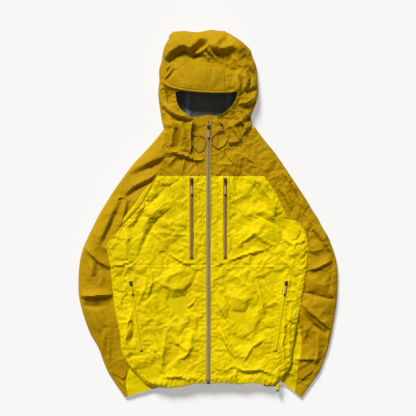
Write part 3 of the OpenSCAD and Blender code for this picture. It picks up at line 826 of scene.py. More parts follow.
def front_surface(side, y_rows):
    """A whole front from hem to collar as one grid, with its folds."""
    k = SIDES[side]
    edge = front_edge(side, y_rows)
    seam = np.where(y_rows < SIDE_TOP, pocket_seam(y_rows), edge - 20)
    seam = np.minimum(seam, edge - 8)
    start = mix(ZIP_EDGE, 0.2, ease((y_rows - 242) / 5))
    inner = start[:, None] + np.linspace(0, 1, INNER_COLS + 1)[None, :] * (seam - start)[:, None]
    outer = seam[:, None] + np.linspace(0, 1, OUTER_COLS + 1)[None, 1:] * (edge - seam)[:, None]
    x = np.concatenate([inner, outer], axis=1)
    y = y_rows[:, None] + (hem_line[side](x) - HEM) * ease(1 - (y_rows[:, None] - HEM) / 60)
    # The collar's top edge dips beside the zip and meets the hood.
    y = y + 5 * ease((y - COLLAR) / 90) * np.cos(x / 26)
    x = k * x
    distance = front_edge(side, y) - np.abs(x)
    rounding = np.sqrt(np.clip(1 - (1 - np.clip(distance / 24, 0, 1)) ** 2, 0, 1))
    at_side = ease((PIT + 12 - y) / 30)
    z = mix(FACE_Z, EDGE_Z + (FACE_Z - EDGE_Z) * rounding, at_side)
    rim = ease(distance / 8) * ease((np.abs(x) - ZIP_EDGE) / 3 + 0.15)
    z = z + front_relief(x, y, side) * np.where(y < PIT, mix(0.35, 1, rim), rim)
    held = 1 - ease(distance / 12) * ease((k * x - start[:, None]) / 9) * ease((y - y[:1]) / 7)
    held = np.maximum(held, ease((y - y[-1:] + 9) / 9))
    held = np.maximum(held, 0.9 * (1 - near_zips(x, y, side)))
    for level in (WAIST, YOKE):
        held = np.maximum(held, 0.5 * ease(1 - np.abs(y - level) / 5))
    grid = refine(settle(points_grid(x, y, z), held, 0.03, 8))
    x, y = grid[..., 0], grid[..., 1]
    creases = 0.5 * crumple(x, y, 13, 13) + 0.3 * crumple(x, y, 6.5, 14)
    grid[..., 2] = sewn_in(x, y, grid[..., 2] + creases * refined(ease(distance / 12)), side)
    return grid


def make_fronts():
    """Both fronts, each split along its seams into panels."""
    y_rows, index = spread([HEM, WAIST, PIT, SIDE_TOP, YOKE, COLLAR, COLLAR_TOP], GRID_STEP)
    _, waist, pit, side_top, yoke, collar, _ = [2 * i for i in index]
    seam = 2 * INNER_COLS
    for side in SIDES:
        grid = front_surface(side, y_rows)
        flip = side == "left"
        wrap = side_wrap(grid[:pit + 1, -1], side)
        pieces = [
            ("lower_front", "yellow", [grid[:waist + 1, :seam + 1], hem_turn(grid[0, :seam + 1])]),
            ("side_panel", "yellow", [grid[:side_top + 1, seam:], wrap, hem_turn(grid[0, seam:])]),
            ("chest_panel", "yellow", [grid[waist:side_top + 1, :seam + 1], grid[side_top:yoke + 1]]),
            ("front_yoke", "mustard", [grid[yoke:collar + 1]]),
            ("collar_front", "mustard", [grid[collar:]]),
        ]
        for node, material, grids in pieces:
            panel(node, [(part, flip) for part in grids], material, "torso", side)
        yellow = [np.s_[:yoke, 2], np.s_[waist - 2, :seam], np.s_[:waist, seam - 2],
                  np.s_[pit + 4:yoke, -3], np.s_[5, :seam + 12]]
        mustard = [np.s_[yoke + 2, :], np.s_[yoke:, 2]]
        stitches(f"front_stitches_{side}", seam_lines(grid, flip, yellow), "thread_yellow", "torso")
        stitches(f"yoke_stitches_{side}", seam_lines(grid, flip, mustard), "thread_mustard", "torso")


def make_pit_flap():
    """The yellow flap along the left raglan seam, over the slit of the pit vent."""
    top, bottom = 80, -34
    y = np.linspace(top, bottom, 60)[:, None]
    t = (top - y) / (top - bottom)
    s = np.linspace(0, 1, 8)[None, :]
    x = -(raglan["left"](y) + 4.5 + s * (3 + 13 * np.sin(np.pi * t) ** 0.7))
    x, y = np.broadcast_arrays(x, y)
    z = FACE_Z + 0.6 + 1.3 * np.sin(np.pi * s) * np.sin(np.pi * t) + 0.7 * crumple(x, y, 14, 18)
    grid = points_grid(x, y, z - 1.8 * ease((s - 0.85) / 0.15))
    cloth_piece("pit_flap_cloth", [(grid, False)], "yellow", "torso", inner="yellow")
    lines = seam_lines(grid, False, [np.s_[2:-2, 1], np.s_[6:-6, 5]])
    stitches("pit_flap_stitches", lines, "thread_yellow", "torso")


def hem_turn(row):
    """The hem's turned edge: round the fold and back inside."""
    steps = [(16, -6), (4, -5), (-0.6, -3), (-1.2, -1.2), (0, 0)]
    return np.stack([row + np.array([0, dy, dz]) for dy, dz in steps])


SIDE_TUCK = 17


def side_wrap(edge, side):
    """From a front's side fold back under the body to the back panel's edge."""
    columns = []
    y = edge[:, 1]
    out = np.abs(edge[:, 0])
    low = out - np.maximum(side_lift(y), 20)
    ramp = side_lift(y) * 0.35
    line = hem_line[side]
    for t in np.linspace(0, 1, 15):
        turn = np.clip(t / 0.25, 0, 1) * math.pi / 2
        z_turn = edge[:, 2] - (edge[:, 2] - SIDE_TUCK) * np.sin(turn)
        x = mix(out - 6 * (1 - np.cos(turn)), low, np.clip((t - 0.25) / 0.75, 0, 1))
        z = mix(z_turn, 0.9, ease((low + ramp - x) / np.maximum(ramp, 1)))
        row = y + (line(x) - line(out) + 3 * ease(t * 4)) * ease(1 - (y - y[0]) / 60)
        z = z + 0.5 * crumple(x, row, 18, 17) * ease(t * 4)
        columns.append(np.stack([SIDES[side] * x, row, z], axis=1))
    return np.stack(columns, axis=1)


# ------------------------------------------------------------------ sleeves

# Stations from the neck to the cuff: inner x, inner y, outer x, outer y, height, yellow share.
STATIONS = {
    "left": [
        (98, 226, 124, 232, 31, 0.3), (106, 180, 147, 202, 31, 0.3), (127, 137, 177, 169, 31, 0.3),
        (144, 95, 208, 136, 31, 0.3), (163, 59, 235, 100, 31, 0.3), (183, 24, 262, 62, 31, 0.28),
        (204, 1, 283, 28, 31, 0.25), (224, -21, 300, 0, 31, 0.22), (242, -42, 316, -31, 30, 0.2),
        (263, -67, 330, -60, 28, 0.16), (278, -90, 343, -88, 26, 0.12), (268, -113, 351, -113, 25, 0.1),
        (256, -138, 356, -140, 24, 0.08), (244, -180, 359, -185, 24, 0.08), (236, -224, 358, -224, 24, 0.08),
        (229, -262, 351, -260, 24, 0.08), (220, -293, 340, -296, 24, 0.08), (212, -328, 326, -332, 21, 0.1),
        (190, -355, 305, -368, 18, 0.22), (160, -390, 290, -408, 16, 0.43), (138, -415, 276, -440, 15, 0.56),
        (122, -434, 262, -462, 14, 0.68), (100, -468, 231, -507, 13, 0.86)],
    "right": [
        (94, 222, 128, 238, 31, 0.3), (102, 182, 153, 204, 31, 0.3), (120, 150, 182, 169, 31, 0.3),
        (142, 118, 205, 136, 31, 0.3), (165, 84, 227, 103, 31, 0.3), (187, 51, 249, 70, 31, 0.28),
        (205, 12, 275, 30, 31, 0.25), (222, -12, 290, 4, 31, 0.22), (240, -20, 301, -12, 30, 0.2),
        (254, -33, 313, -36, 29, 0.16), (268, -67, 331, -66, 27, 0.12), (271, -92, 342, -95, 26, 0.1),
        (262, -113, 349, -116, 25, 0.08), (246, -160, 356, -160, 24, 0.08), (238, -204, 356, -206, 24, 0.08),
        (230, -250, 352, -258, 24, 0.12), (224, -275, 346, -294, 22, 0.2), (216, -300, 339, -334, 20, 0.33),
        (207, -320, 330, -373, 17, 0.42), (195, -345, 318, -408, 15.5, 0.49),
        (185, -365, 306, -438, 15, 0.52),
        (172, -387, 291, -460, 14, 0.58), (150, -422, 257, -508, 13, 0.74)],
}
PIT_STATION = {"left": 10, "right": 11}
SLEEVE_EDGE_Z = 8

SLEEVE_GAIN = 2.4
SLEEVE_FOLDS = [
    # left
    (3, 5, 0.5, [(-252, 38), (-241, 45), (-230, 42)]),
    (5, 9, 0.3, [(-345, -86), (-323, -112), (-298, -134), (-270, -148)]),
    (3, 7, 0.5, [(-330, -130), (-312, -172), (-318, -196)]),
    (3, 6, 0.5, [(-300, -152), (-292, -180), (-304, -204)]),
    (7, 12, 0.22, [(-360, -230), (-330, -226), (-300, -224), (-262, -222)]),
    (-3, 10, 0.5, [(-352, -250), (-320, -256), (-280, -254)]),
    (3, 6, 0.5, [(-310, -262), (-296, -290), (-286, -310), (-276, -300)]),
    (3, 6, 0.5, [(-326, -268), (-306, -318), (-300, -372)]),
    (2.5, 4, 0.5, [(-270, -296), (-274, -360), (-277, -430)]),
    (3, 6, 0.5, [(-282, -310), (-290, -350), (-292, -392)]),
    (3, 5, 0.4, [(-278, -432), (-262, -444), (-246, -448)]),
    (2.5, 5, 0.5, [(-258, -452), (-238, -470), (-224, -486)]),
    # right
    (3, 8, 0.5, [(238, 40), (252, 26), (266, 8)]),
    (5, 9, 0.3, [(272, -156), (300, -148), (340, -128)]),
    (1.2, 12, 0.6, [(262, -108), (300, -100), (336, -96)]),
    (-6, 12, 0.4, [(260, -216), (300, -226), (356, -240)]),
    (1.4, 12, 0.6, [(272, -186), (310, -196), (350, -190)]),
    (5, 10, 0.4, [(256, -248), (286, -276), (320, -304), (344, -324)]),
    (-4, 9, 0.5, [(258, -268), (290, -306), (330, -336)]),
    (3, 7, 0.5, [(330, -330), (326, -380), (306, -436)]),
    (3, 7, 0.5, [(300, -330), (300, -380), (286, -430)]),
    (3, 6, 0.5, [(262, -300), (268, -330), (258, -346)]),
    (3, 7, 0.5, [(240, -400), (262, -400), (300, -400)]),
    (3, 5, 0.4, [(268, -404), (292, -440), (300, -452)]),
    (3, 6, 0.5, [(186, -420), (216, -430), (244, -452)]),
]


# The sleeves' long falls, as for the hood: rise, reach, dip, reach below, drop, path.
SLEEVE_SHELVES = [
    # left
    (8, 30, 7, 16, 16, [(-218, 118), (-182, 134), (-146, 150), (-114, 161)]),
    (6, 12, 8, 12, 11, [(-234, 50), (-206, 76), (-172, 92), (-136, 113)]),
    (7, 16, 7, 14, 12, [(-304, -86), (-284, -40), (-264, 4), (-247, 40)]),
    (5, 10, 6, 10, 9, [(-242, -38), (-233, 0), (-226, 38)]),
    (6, 12, 5, 14, 9, [(-326, -186), (-318, -160), (-316, -132)]),
    # right
    (5, 9, 6, 12, 7, [(200, 116), (228, 86), (250, 46), (268, 10)]),
    (6, 10, 6, 14, 8, [(264, 4), (290, -38), (318, -80), (352, -122)]),
    (4, 12, 5, 12, 8, [(196, 70), (216, 38), (228, 14)]),
]


def sleeve_relief(x, y, seed):
    z = fold_height(x, y, SLEEVE_FOLDS, SLEEVE_GAIN) + shelf_height(x, y, SLEEVE_SHELVES)
    z += 2.0 * smooth_noise(x, y, 60, seed)
    z += 1.8 * crumple(x, y, 52, seed + 1)
    z += 0.5 * crumple(x, y, 24, seed + 2)
    return z


TAB_PLACES = {"left": (228, -446, 205), "right": (248, -448, 212)}
TAB_LENGTH = 42
SLEEVE_STEP = 6
YELLOW_COLS = 8
TOP_COLS = 14
LOW_COLS = 14
CUFF_LENGTH = 17
LOW_Z = 0.9
SLEEVE_BLEND = [(262, 10), (290, -90)]


def sleeve_surface(side):
    """A sleeve from neck to cuff as one grid round the tube, and the rows of the armpit and the cuff."""
    k = SIDES[side]
    table = np.array(STATIONS[side], float)
    middle = (table[:, 0:2] + table[:, 2:4]) / 2
    at = np.concatenate([[0], np.cumsum(np.linalg.norm(np.diff(middle, axis=0), axis=1))])
    pit_at = at[PIT_STATION[side]]
    cuff_at = at[-1] - CUFF_LENGTH
    v_rows, index = spread([0, pit_at, cuff_at, at[-1]], SLEEVE_STEP)
    # Columns run out over the yellow and the mustard cloth, and back underneath.
    yellow = columns_at(at, table, v_rows)[5][:, None]
    out_yellow = np.linspace(0, 1, YELLOW_COLS + 1)[None, :] * yellow
    out_top = yellow + np.linspace(0, 1, TOP_COLS + 1)[None, 1:] * (1 - yellow)
    back = np.repeat(np.linspace(1, 0, LOW_COLS + 1)[None, 1:], len(v_rows), axis=0)
    w = np.clip(refined(np.concatenate([out_yellow, out_top, back], axis=1)), 0, 1)
    count = len(v_rows)
    half_steps = np.linspace(0, count - 1, 2 * count - 1)
    v = np.repeat(np.interp(half_steps, np.arange(count), v_rows)[:, None], w.shape[1], axis=1)
    is_top = np.broadcast_to(np.arange(w.shape[1]) <= 2 * (YELLOW_COLS + TOP_COLS), w.shape)
    in_x, in_y, out_x, out_y, height, _ = columns_at(at, table, v)
    in_x = mix(raglan[side](in_y) - 0.8, in_x, ease((v - pit_at + 24) / 24))
    arm = ease((v - pit_at + 8) / 42)
    # Round the edges: even steps of angle round the tube, not of width.
    across = mix(w, (1 - np.cos(np.pi * w)) / 2, 0.75 * arm)
    bulge = np.sqrt(np.clip(4 * across * (1 - across), 0, 1))
    edge_z = SLEEVE_EDGE_Z
    shoulder_top = edge_z + (FACE_Z - 0.3 - edge_z) * np.sqrt(np.clip(1 - across**2.4, 0, 1))
    arm_top = edge_z + (height - edge_z) * bulge**0.8
    shoulder_low = LOW_Z + (edge_z - LOW_Z) * ease((across - 0.7) / 0.3) ** 2
    arm_low = LOW_Z + (edge_z - LOW_Z) * (1 - np.clip(bulge * 1.3, 0, 1))
    x = k * mix(in_x, out_x, across)
    y = mix(in_y, out_y, across)
    z = np.where(is_top, mix(shoulder_top, arm_top, arm), mix(shoulder_low, arm_low, arm))
    # The folds fade out towards both edges of the upper side.
    rim = np.where(is_top, ease((1 - across) * 7) * ease(across * 7 + (1 - arm) * 0.1), 0)
    z = z + sleeve_relief(x, y, 60 + k) * rim
    held = np.where(is_top, 1 - ease((1 - across) * 14) * ease(across * 14), 1)
    held = held + ease((8 - v) / 8) + ease((v - cuff_at + 6) / 6)
    loose = settle(points_grid(x, y, z), held, 0.035, 8)
    x, y, z = loose[..., 0], loose[..., 1], loose[..., 2]
    z = z + np.where(is_top, rim, 0) * (0.5 * crumple(x, y, 15, 64 + k) + 0.3 * crumple(x, y, 7.5, 67))
    # Flat below the cuff tab, and low where the body's side lies over the sleeve.
    z = np.where(tab_distance(x, y, side) < 15, np.minimum(z, 14.3), z)
    z = np.where(is_top, z, np.maximum(z, 0.85))
    hidden = ease((front_edge(side, y) + 4 - np.abs(x)) / 10) * ease((PIT - 2 - y) / 14)
    z = np.where(is_top, np.minimum(z, mix(60, 15.5, hidden)), z)
    z = np.where(is_top, z, np.maximum(z + 0.25 * crumple(x, y, 16, 71), 0.85))
    return points_grid(x, y, z), 2 * index[1], 2 * index[2]


def make_sleeves():
    for side, k in SIDES.items():
        grid, pit, cuff = sleeve_surface(side)
        # Rows run from neck to cuff, so the faces turn the other way round than the fronts'.
        flip = side == "right"
        yellow = 2 * YELLOW_COLS
        low = 2 * (YELLOW_COLS + TOP_COLS) + LOW_COLS
        start, end = [(k * x * MM, y * MM, 0.015) for x, y in SLEEVE_BLEND]
        place = ("torso", f"sleeve_{side}", start, end)
        pieces = [
            ("shoulder", "mustard", [grid[:pit + 1]]),
            ("upper_sleeve", "mustard", [grid[pit:cuff + 1, yellow:low + 1]]),
            ("under_sleeve", "yellow", [grid[pit:, :yellow + 1], grid[pit:, low:]]),
            ("cuff", "mustard", [grid[cuff:, yellow:low + 1]]),
        ]
        for node, material, grids in pieces:
            panel(node, [(part, flip) for part in grids], material, place, side)
        lines = seam_lines(grid, flip, [np.s_[cuff + 1, :low // 2 + 14], np.s_[pit + 6:cuff, yellow + 2]])
        stitches(f"sleeve_stitches_{side}", lines, "thread_mustard", place)
        make_gusset(side, flip)


def make_gusset(side, flip):
    """The gusset at the armpit, along the raglan seam, from the body's height down to the sleeve's edge."""
    k = SIDES[side]
    y = np.linspace(34, -94, 26)
    level = np.linspace(29.5, 7, 14)[:, None]
    x = raglan[side](y) - 1.5 + 3 * np.sin(np.pi * (29.5 - level) / 22.5)
    middle = (k * 262 * MM, -60 * MM)
    place = ("torso", f"sleeve_{side}", (*middle, 29 * MM), (*middle, 8 * MM))
    grid = points_grid(k * x, y, level)
    cloth_piece(f"gusset_cloth_{side}", [(grid, flip)], "yellow", place, inner="yellow")


def tab_distance(x, y, side):
    """Distance from the line along the middle of a cuff tab."""
    hinge_x, hinge_y, angle = TAB_PLACES[side]
    angle = math.radians(angle + 180)
    end = (hinge_x + TAB_LENGTH * math.cos(angle), hinge_y + TAB_LENGTH * math.sin(angle))
    return along_path(SIDES[side] * x, y, [(hinge_x, hinge_y), end])[0]


# ------------------------------------------------------------------ hood

HOOD_OUT = {
    "left": curve([(160, 118), (172, 130), (200, 124), (235, 124), (252, 128), (268, 131), (301, 136),
                   (334, 139), (367, 136), (400, 136), (417, 131), (450, 125), (466, 120), (483, 111),
                   (499, 105), (505, 98)]),
    "right": curve([(190, 84), (202, 93), (220, 99), (238, 121), (252, 120), (268, 118), (284, 124),
                    (301, 131), (334, 138), (367, 136), (400, 133), (417, 129), (433, 121), (450, 117),
                    (466, 103), (483, 82), (496, 62), (505, 46)]),
}
HOOD_IN = {
    "left": curve([(157, 62), (165, 54), (175, 50), (220, 49), (248, 46), (262, 43), (270, 54), (285, 73),
                   (304, 86), (320, 90), (340, 92)]),
    "right": curve([(187, 60), (206, 51), (228, 45), (249, 38), (262, 24), (268, 26), (277, 42), (290, 57),
                    (304, 69), (320, 77), (338, 81)]),
}
HOOD_TOP = curve([(-120, 506), (-98, 503), (-75, 505), (-26, 502), (8, 508), (35, 505), (60, 505),
                  (90, 506)])
FLAP_Y = {"left": 160, "right": 190}
BRIM_Y = 337
HOOD_EDGE_Z = 10
hood_height = curve([(150, 33), (175, 37), (215, 39), (252, 42), (300, 50), (340, 57), (380, 56), (420, 49),
                     (455, 48), (478, 43), (497, 27), (508, 12)])

# Cloth that stands up and falls: rise, reach, dip, reach below, drop, path.
HOOD_SHELVES = [
    # the crown's left edge, with a wide shaded slope below it
    (14, 25, 12, 15, 24, [(-141, 402), (-124, 434), (-102, 455), (-82, 464), (-64, 468), (-52, 463),
                          (-40, 473), (-28, 486), (-10, 489), (6, 488), (14, 476)]),
    # the crown's right edge, with a larger one
    (16, 22, 4, 40, 20, [(-14, 452), (2, 460), (30, 459), (56, 462), (80, 461), (94, 446)]),
    (5, 26, -4, 14, 6, [(62, 452), (88, 428), (104, 404), (118, 376), (126, 346)]),
    # beside the brim
    (4, 12, 6, 6, 4, [(-122, 388), (-114, 400), (-104, 412)]),
    (4, 9, 7, 6, 4, [(-122, 368), (-110, 386), (-96, 405)]),
    (8, 15, 6, 6, 4, [(87, 338), (86, 356), (83, 378)]),
    (7, 10, 8, 12, 7, [(92, 338), (104, 354), (109, 372), (101, 394)]),
    # cheeks
    (6, 16, 8, 12, 9, [(-138, 322), (-124, 300), (-104, 284), (-80, 270), (-58, 264)]),
    (6, 16, 6, 12, 9, [(98, 340), (118, 350), (142, 360)]),
    (9, 16, 9, 14, 12, [(82, 302), (108, 309), (126, 319), (143, 338)]),
    (8, 18, 9, 16, 12, [(68, 244), (92, 260), (114, 282), (130, 306)]),
]

HOOD_GAIN = 2.0
HOOD_SHELF_GAIN = 1.1
HOOD_FOLDS = [
    # the crest between the crown's edges
    (10, 6, 0.35, [(-46, 440), (-24, 445), (-11, 456), (0, 471)]),
    (6, 7, 0.4, [(0, 471), (9, 466), (17, 455)]),
    (-5, 5, 1, [(-22, 456), (-12, 465), (-4, 474)]),
    (8, 4, 0.4, [(-17, 448), (-7, 436), (4, 422)]),
    (9, 4, 0.4, [(-2, 452), (12, 438), (28, 418)]),
    (-5, 8, 0.5, [(-40, 422), (-32, 433), (-20, 440)]),
    (4, 10, 0.5, [(18, 470), (30, 480), (44, 494)]),
    (-5, 9, 0.6, [(36, 488), (48, 476), (62, 464)]),
    (4, 12, 0.6, [(52, 494), (78, 476), (106, 446)]),
    (3, 9, 0.5, [(-98, 486), (-86, 476), (-78, 462)]),
    # brim and its sides
    (-4, 5, 1, [(46, 409), (60, 400), (74, 395), (86, 400)]),
    (3, 6, 0.5, [(60, 438), (76, 424), (86, 408)]),
    # cheeks
    (-10, 14, 1, [(-122, 350), (-113, 326), (-108, 298)]),
    (4, 5, 0.5, [(-128, 340), (-118, 322), (-114, 300)]),
    (4, 7, 0.5, [(-118, 292), (-92, 276), (-60, 264)]),
    (6, 8, 0.4, [(-112, 276), (-98, 236), (-104, 184)]),
    (5, 7, 0.4, [(-78, 256), (-72, 220), (-64, 180)]),
    (-4, 6, 0.6, [(-88, 250), (-86, 215), (-84, 180)]),
    (5, 8, 0.4, [(80, 272), (100, 244), (104, 212)]),
    (4, 8, 0.5, [(60, 244), (78, 226), (92, 196)]),
    (-4, 7, 0.6, [(72, 262), (84, 240), (90, 214)]),
    (-4, 7, 0.6, [(110, 404), (120, 388), (132, 372)]),
]


def hood_relief(x, y):
    z = fold_height(x, y, HOOD_FOLDS, HOOD_GAIN) + HOOD_SHELF_GAIN * shelf_height(x, y, HOOD_SHELVES)
    z += 1.0 * smooth_noise(x, y, 50, 81)
    z += 1.4 * crumple(x, y, 44, 82)
    z += 0.5 * crumple(x, y, 22, 83)
    return z


def hood_limit(x, y):
    return np.where(x < 0, HOOD_OUT["left"](y), HOOD_OUT["right"](y))


def hood_z(x, y):
    """The hood's own round shape, without folds."""
    u = np.clip(np.abs(x) / hood_limit(x, y), 0, 1)
    neck = ease((262 - y) / 20)
    bow = mix(np.where(x < 0, 4, 2.3), 10, neck)
    rounding = np.sqrt(np.clip(1 - u**bow, 0, 1))
    low = mix(HOOD_EDGE_Z, 31.5, ease((236 - y) / 14))
    return low + (hood_height(y) - low) * rounding


def fine_creases(grid):
    x, y = grid[..., 0], grid[..., 1]
    return 0.7 * crumple(x, y, 19, 88) + 0.35 * crumple(x, y, 9, 89)


LEAN_CENTRE = (-1.4, 15)
LEAN_HEIGHT = 3200


def lean(grid):
    """Draws the hood's high parts in towards the middle, as its outlines are those seen from above."""
    share = grid[..., 2:3] / LEAN_HEIGHT
    return np.concatenate([grid[..., :2] - (grid[..., :2] - LEAN_CENTRE) * share, grid[..., 2:3]], axis=2)


def press_down(z, start, room):
    """Heights above the start are pressed into the room over it."""
    over = np.maximum(z - start, 0)
    return z - (over - room * np.tanh(over / room))


HOOD_PLACE = ("torso", "hood", (0, 0.212, 0.03), (0, 0.292, 0.03))
HOOD_STEP = 3.9
CHEEK_COLS = 14
BRIM_COLS = 34
NECK_SEAM = 251
CROWN_SEAM = 421
HOOD_END = 506


def side_columns(y, side):
    """Columns of x from the opening's edge to the outline."""
    outer = HOOD_OUT[side](y)
    inner = np.minimum(HOOD_IN[side](y), 0.72 * outer)
    share = np.linspace(0, 1, CHEEK_COLS + 1)
    share = mix(share, np.sin(share * math.pi / 2), 0.6)
    return inner[:, None] + share[None, :] * (outer - inner)[:, None]


def make_hood_side(side):
    """The hood's side below the brim: makes its neck panel and returns the cheek's lower grids."""
    k = SIDES[side]
    flip = side == "left"
    y_rows, index = spread([FLAP_Y[side], NECK_SEAM, BRIM_Y], HOOD_STEP)
    x = k * side_columns(y_rows, side)
    y = np.repeat(y_rows[:, None], x.shape[1], axis=1)
    inside = np.abs(x) - HOOD_IN[side](y)
    rim = ease((HOOD_OUT[side](y) - np.abs(x)) / 8)
    edge = ease(inside / 5)
    z = hood_z(x, y) + hood_relief(x, y) * rim * mix(0.4, 1, edge)
    # The opening's edge is rolled, and the flap's bottom turns down to the yoke.
    z += 3 * np.exp(-((inside / 7) ** 2)) - 4.5 * ease(1 - (y - FLAP_Y[side]) / 9)
    held = 1 - rim * mix(0.3, 1, edge) * ease((y - FLAP_Y[side]) / 6) * ease((BRIM_Y - y) / 5)
    grid = refine(settle(points_grid(x, y, z), held, 0.025, 6))
    grid[..., 2] += refined(rim * edge) * fine_creases(grid)
    grid = lean(grid)
    above_cord = np.where(grid[..., 1] < 250, 33.3, 0) * refined(rim > 0.9)
    grid[..., 2] = np.maximum(grid[..., 2], above_cord)
    wrap = hood_wrap(grid[:, -1], k)
    seam = 2 * index[1]
    panel("neck_panel", [(grid[:seam + 1], flip), (wrap[:seam + 1], flip)], "mustard", HOOD_PLACE, side)
    return [(grid[seam:], flip), (wrap[seam:], flip)]


def hood_top_surface():
    """Cheeks, shell below the brim and crown as one grid, and the row of the crown's seam."""
    y_rows, index = spread([BRIM_Y, CROWN_SEAM, HOOD_END], HOOD_STEP)
    left = -side_columns(y_rows, "left")
    right = side_columns(y_rows, "right")
    middle = left[:, :1] + np.linspace(0, 1, BRIM_COLS + 1)[None, 1:-1] * (right[:, :1] - left[:, :1])
    x = np.concatenate([left[:, ::-1], middle, right], axis=1)
    y = np.repeat(y_rows[:, None], x.shape[1], axis=1)
    y = y + (HOOD_TOP(x) - HOOD_END) * ease((y - 440) / 66)
    # The shell ends a little behind the brim's own edge.
    cols = np.arange(x.shape[1])[None, :]
    behind = ease((cols - CHEEK_COLS) / 5) * ease((CHEEK_COLS + BRIM_COLS - cols) / 5)
    y = y + behind * mix(-2, 4, ease((52 - x) / 5)) * ease(1 - (y - BRIM_Y) / 20)
    rim = ease((hood_limit(x, y) - np.abs(x)) / 9) * ease((HOOD_END + 1 - y) / 9)
    under = brim_share(x, y)
    z = hood_z(x, np.clip(y, 0, 507.5)) + hood_relief(x, y) * rim * mix(1, 0.3, under) - 1.5 * under
    held = 1 - rim * (1 - under) * ease((y - BRIM_Y) / 5)
    grid = refine(settle(points_grid(x, y, soften(z)), held, 0.02, 6))
    grid[..., 2] += refined(rim * (1 - 0.7 * under)) * fine_creases(grid)
    grid[..., 2] = press_down(grid[..., 2], 62, 9)
    return lean(grid), 2 * index[1]


def make_hood():
    lower = {side: make_hood_side(side) for side in SIDES}
    grid, seam = hood_top_surface()
    first, last = 2 * CHEEK_COLS, 2 * (CHEEK_COLS + BRIM_COLS)
    cheeks = {"left": grid[:seam + 1, :first + 1], "right": grid[:seam + 1, last:]}
    outlines = {"left": grid[:, 0], "right": grid[:, -1]}
    for side, k in SIDES.items():
        wrap = hood_wrap(outlines[side][:seam + 1], k)
        grids = lower[side] + [(cheeks[side], False), (wrap, side == "left")]
        panel("hood_cheek", grids, "mustard", HOOD_PLACE, side)
    crown = [(grid[:seam + 1, first:last + 1], False), (grid[seam:], False), (top_wrap(grid[-1]), False)]
    crown += [(hood_wrap(outlines[side][seam:], k), side == "left") for side, k in SIDES.items()]
    panel("hood_crown", crown, "mustard", HOOD_PLACE)
    make_brim()


# The brim's edges, left to right: its free lower edge and the seam above.
BRIM_LOW = [(-127, 362), (-110, 351), (-92, 345), (-60, 339), (-24, 335.5), (14, 334), (51, 334)]
BRIM_HIGH = [(-50, 424), (-40, 427), (-28, 426), (-10, 423), (8, 419), (26, 414), (45, 405)]


def brim_share(x, y):
    """1 well inside the brim's outline and 0 outside it."""
    corner_x, corner_y = BRIM_LOW[0]
    seam_x, seam_y = BRIM_HIGH[0]
    diagonal = corner_y + (x - corner_x) * (seam_y - corner_y) / (seam_x - corner_x)
    low = curve(BRIM_LOW)(x)
    high = np.where(x < seam_x, diagonal, curve(BRIM_HIGH)(x))
    return (ease((y - low + 6) / 6) * ease((high - y) / 8)
            * ease((BRIM_LOW[-1][0] - x) / 6) * ease((x - corner_x) / 6))


BRIM_ROLL = [(10, -3.2), (5, -3.4), (0.2, -3), (-1.1, -1.5), (0, 0)]


def make_brim():
    """The stiffened brim: its own panel on the shell, with a piped edge."""
    across = np.linspace(0, 1, 70)[None, :]
    ends = np.linspace(0, 1, len(BRIM_LOW))
    low_x, low_y = columns_at(ends, BRIM_LOW, across)
    high_x, high_y = columns_at(ends, BRIM_HIGH, across)
    up = np.linspace(0, 1, 34)[:, None]
    grid = refine(points_grid(mix(low_x, high_x, up), mix(low_y, high_y, up)))
    x, y = grid[..., 0], grid[..., 1]
    t = np.linspace(0, 1, grid.shape[0])[:, None]
    s = np.linspace(0, 1, grid.shape[1])[None, :]
    from_edge = y - y[:1]
    calm = 1.2 * crumple(x, y, 46, 85) + 0.4 * crumple(x, y, 20, 86) + 0.2 * crumple(x, y, 9, 87)
    z = hood_z(x, y) + 0.3 * hood_relief(x, y) + calm + 2.5 * (1 - t) ** 2
    # It bows up along its middle, and its free corner stands off the cheek.
    z += 5 * np.sin(np.pi * np.clip(t * 0.85 + 0.15, 0, 1)) * np.sin(np.pi * s)
    z += 5 * ease(1 - s / 0.3) * (1 - t)
    z -= 4 * ease((t - 0.9) / 0.1) + 2.5 * ease((s - 0.97) / 0.03)
    # The piped edge, and the groove behind it.
    z += 1.4 * np.exp(-(((from_edge - 1.9) / 1.7) ** 2))
    z -= 1.2 * np.exp(-(((from_edge - 5.4) / 1.3) ** 2))
    grid[..., 2] = press_down(z, 64, 8)
    turned = np.stack([grid[0] + np.array([0, dy, dz]) for dy, dz in BRIM_ROLL])
    grid = lean(grid)
    panel("hood_brim", [(grid, False), (lean(turned), False)], "mustard", HOOD_PLACE, inner="mustard")
    lines = seam_lines(grid, False, [np.s_[5, 2:-2], np.s_[12, 2:-2], np.s_[6:-3, -4]])
    stitches("brim_stitches", lines, "thread_mustard", HOOD_PLACE)


WRAP_Z = 1.2


def wrap_turns():
    """How far round a turned-under edge is, in steps: how far in and how far down, from 0 to 1."""
    return [(1 - np.cos(turn), np.sin(turn)) for turn in np.linspace(0, 1, 7) * math.pi / 2]


def hood_wrap(edge, k):
    """From the hood's outline round and under to its back."""
    x, y, z = edge.T
    columns = [np.stack([x - k * 5 * inward, y, WRAP_Z + (z - WRAP_Z) * (1 - down)], axis=1)
               for inward, down in wrap_turns()]
    return np.stack(columns, axis=1)


def top_wrap(edge):
    """From the hood's top edge round and under to its back."""
    x, y, z = edge.T
    rows = [np.stack([x, y - 4 * inward, WRAP_Z + (z - WRAP_Z) * (1 - down)], axis=1)
            for inward, down in wrap_turns()]
    return np.stack(rows)


BACK_HEM = -468


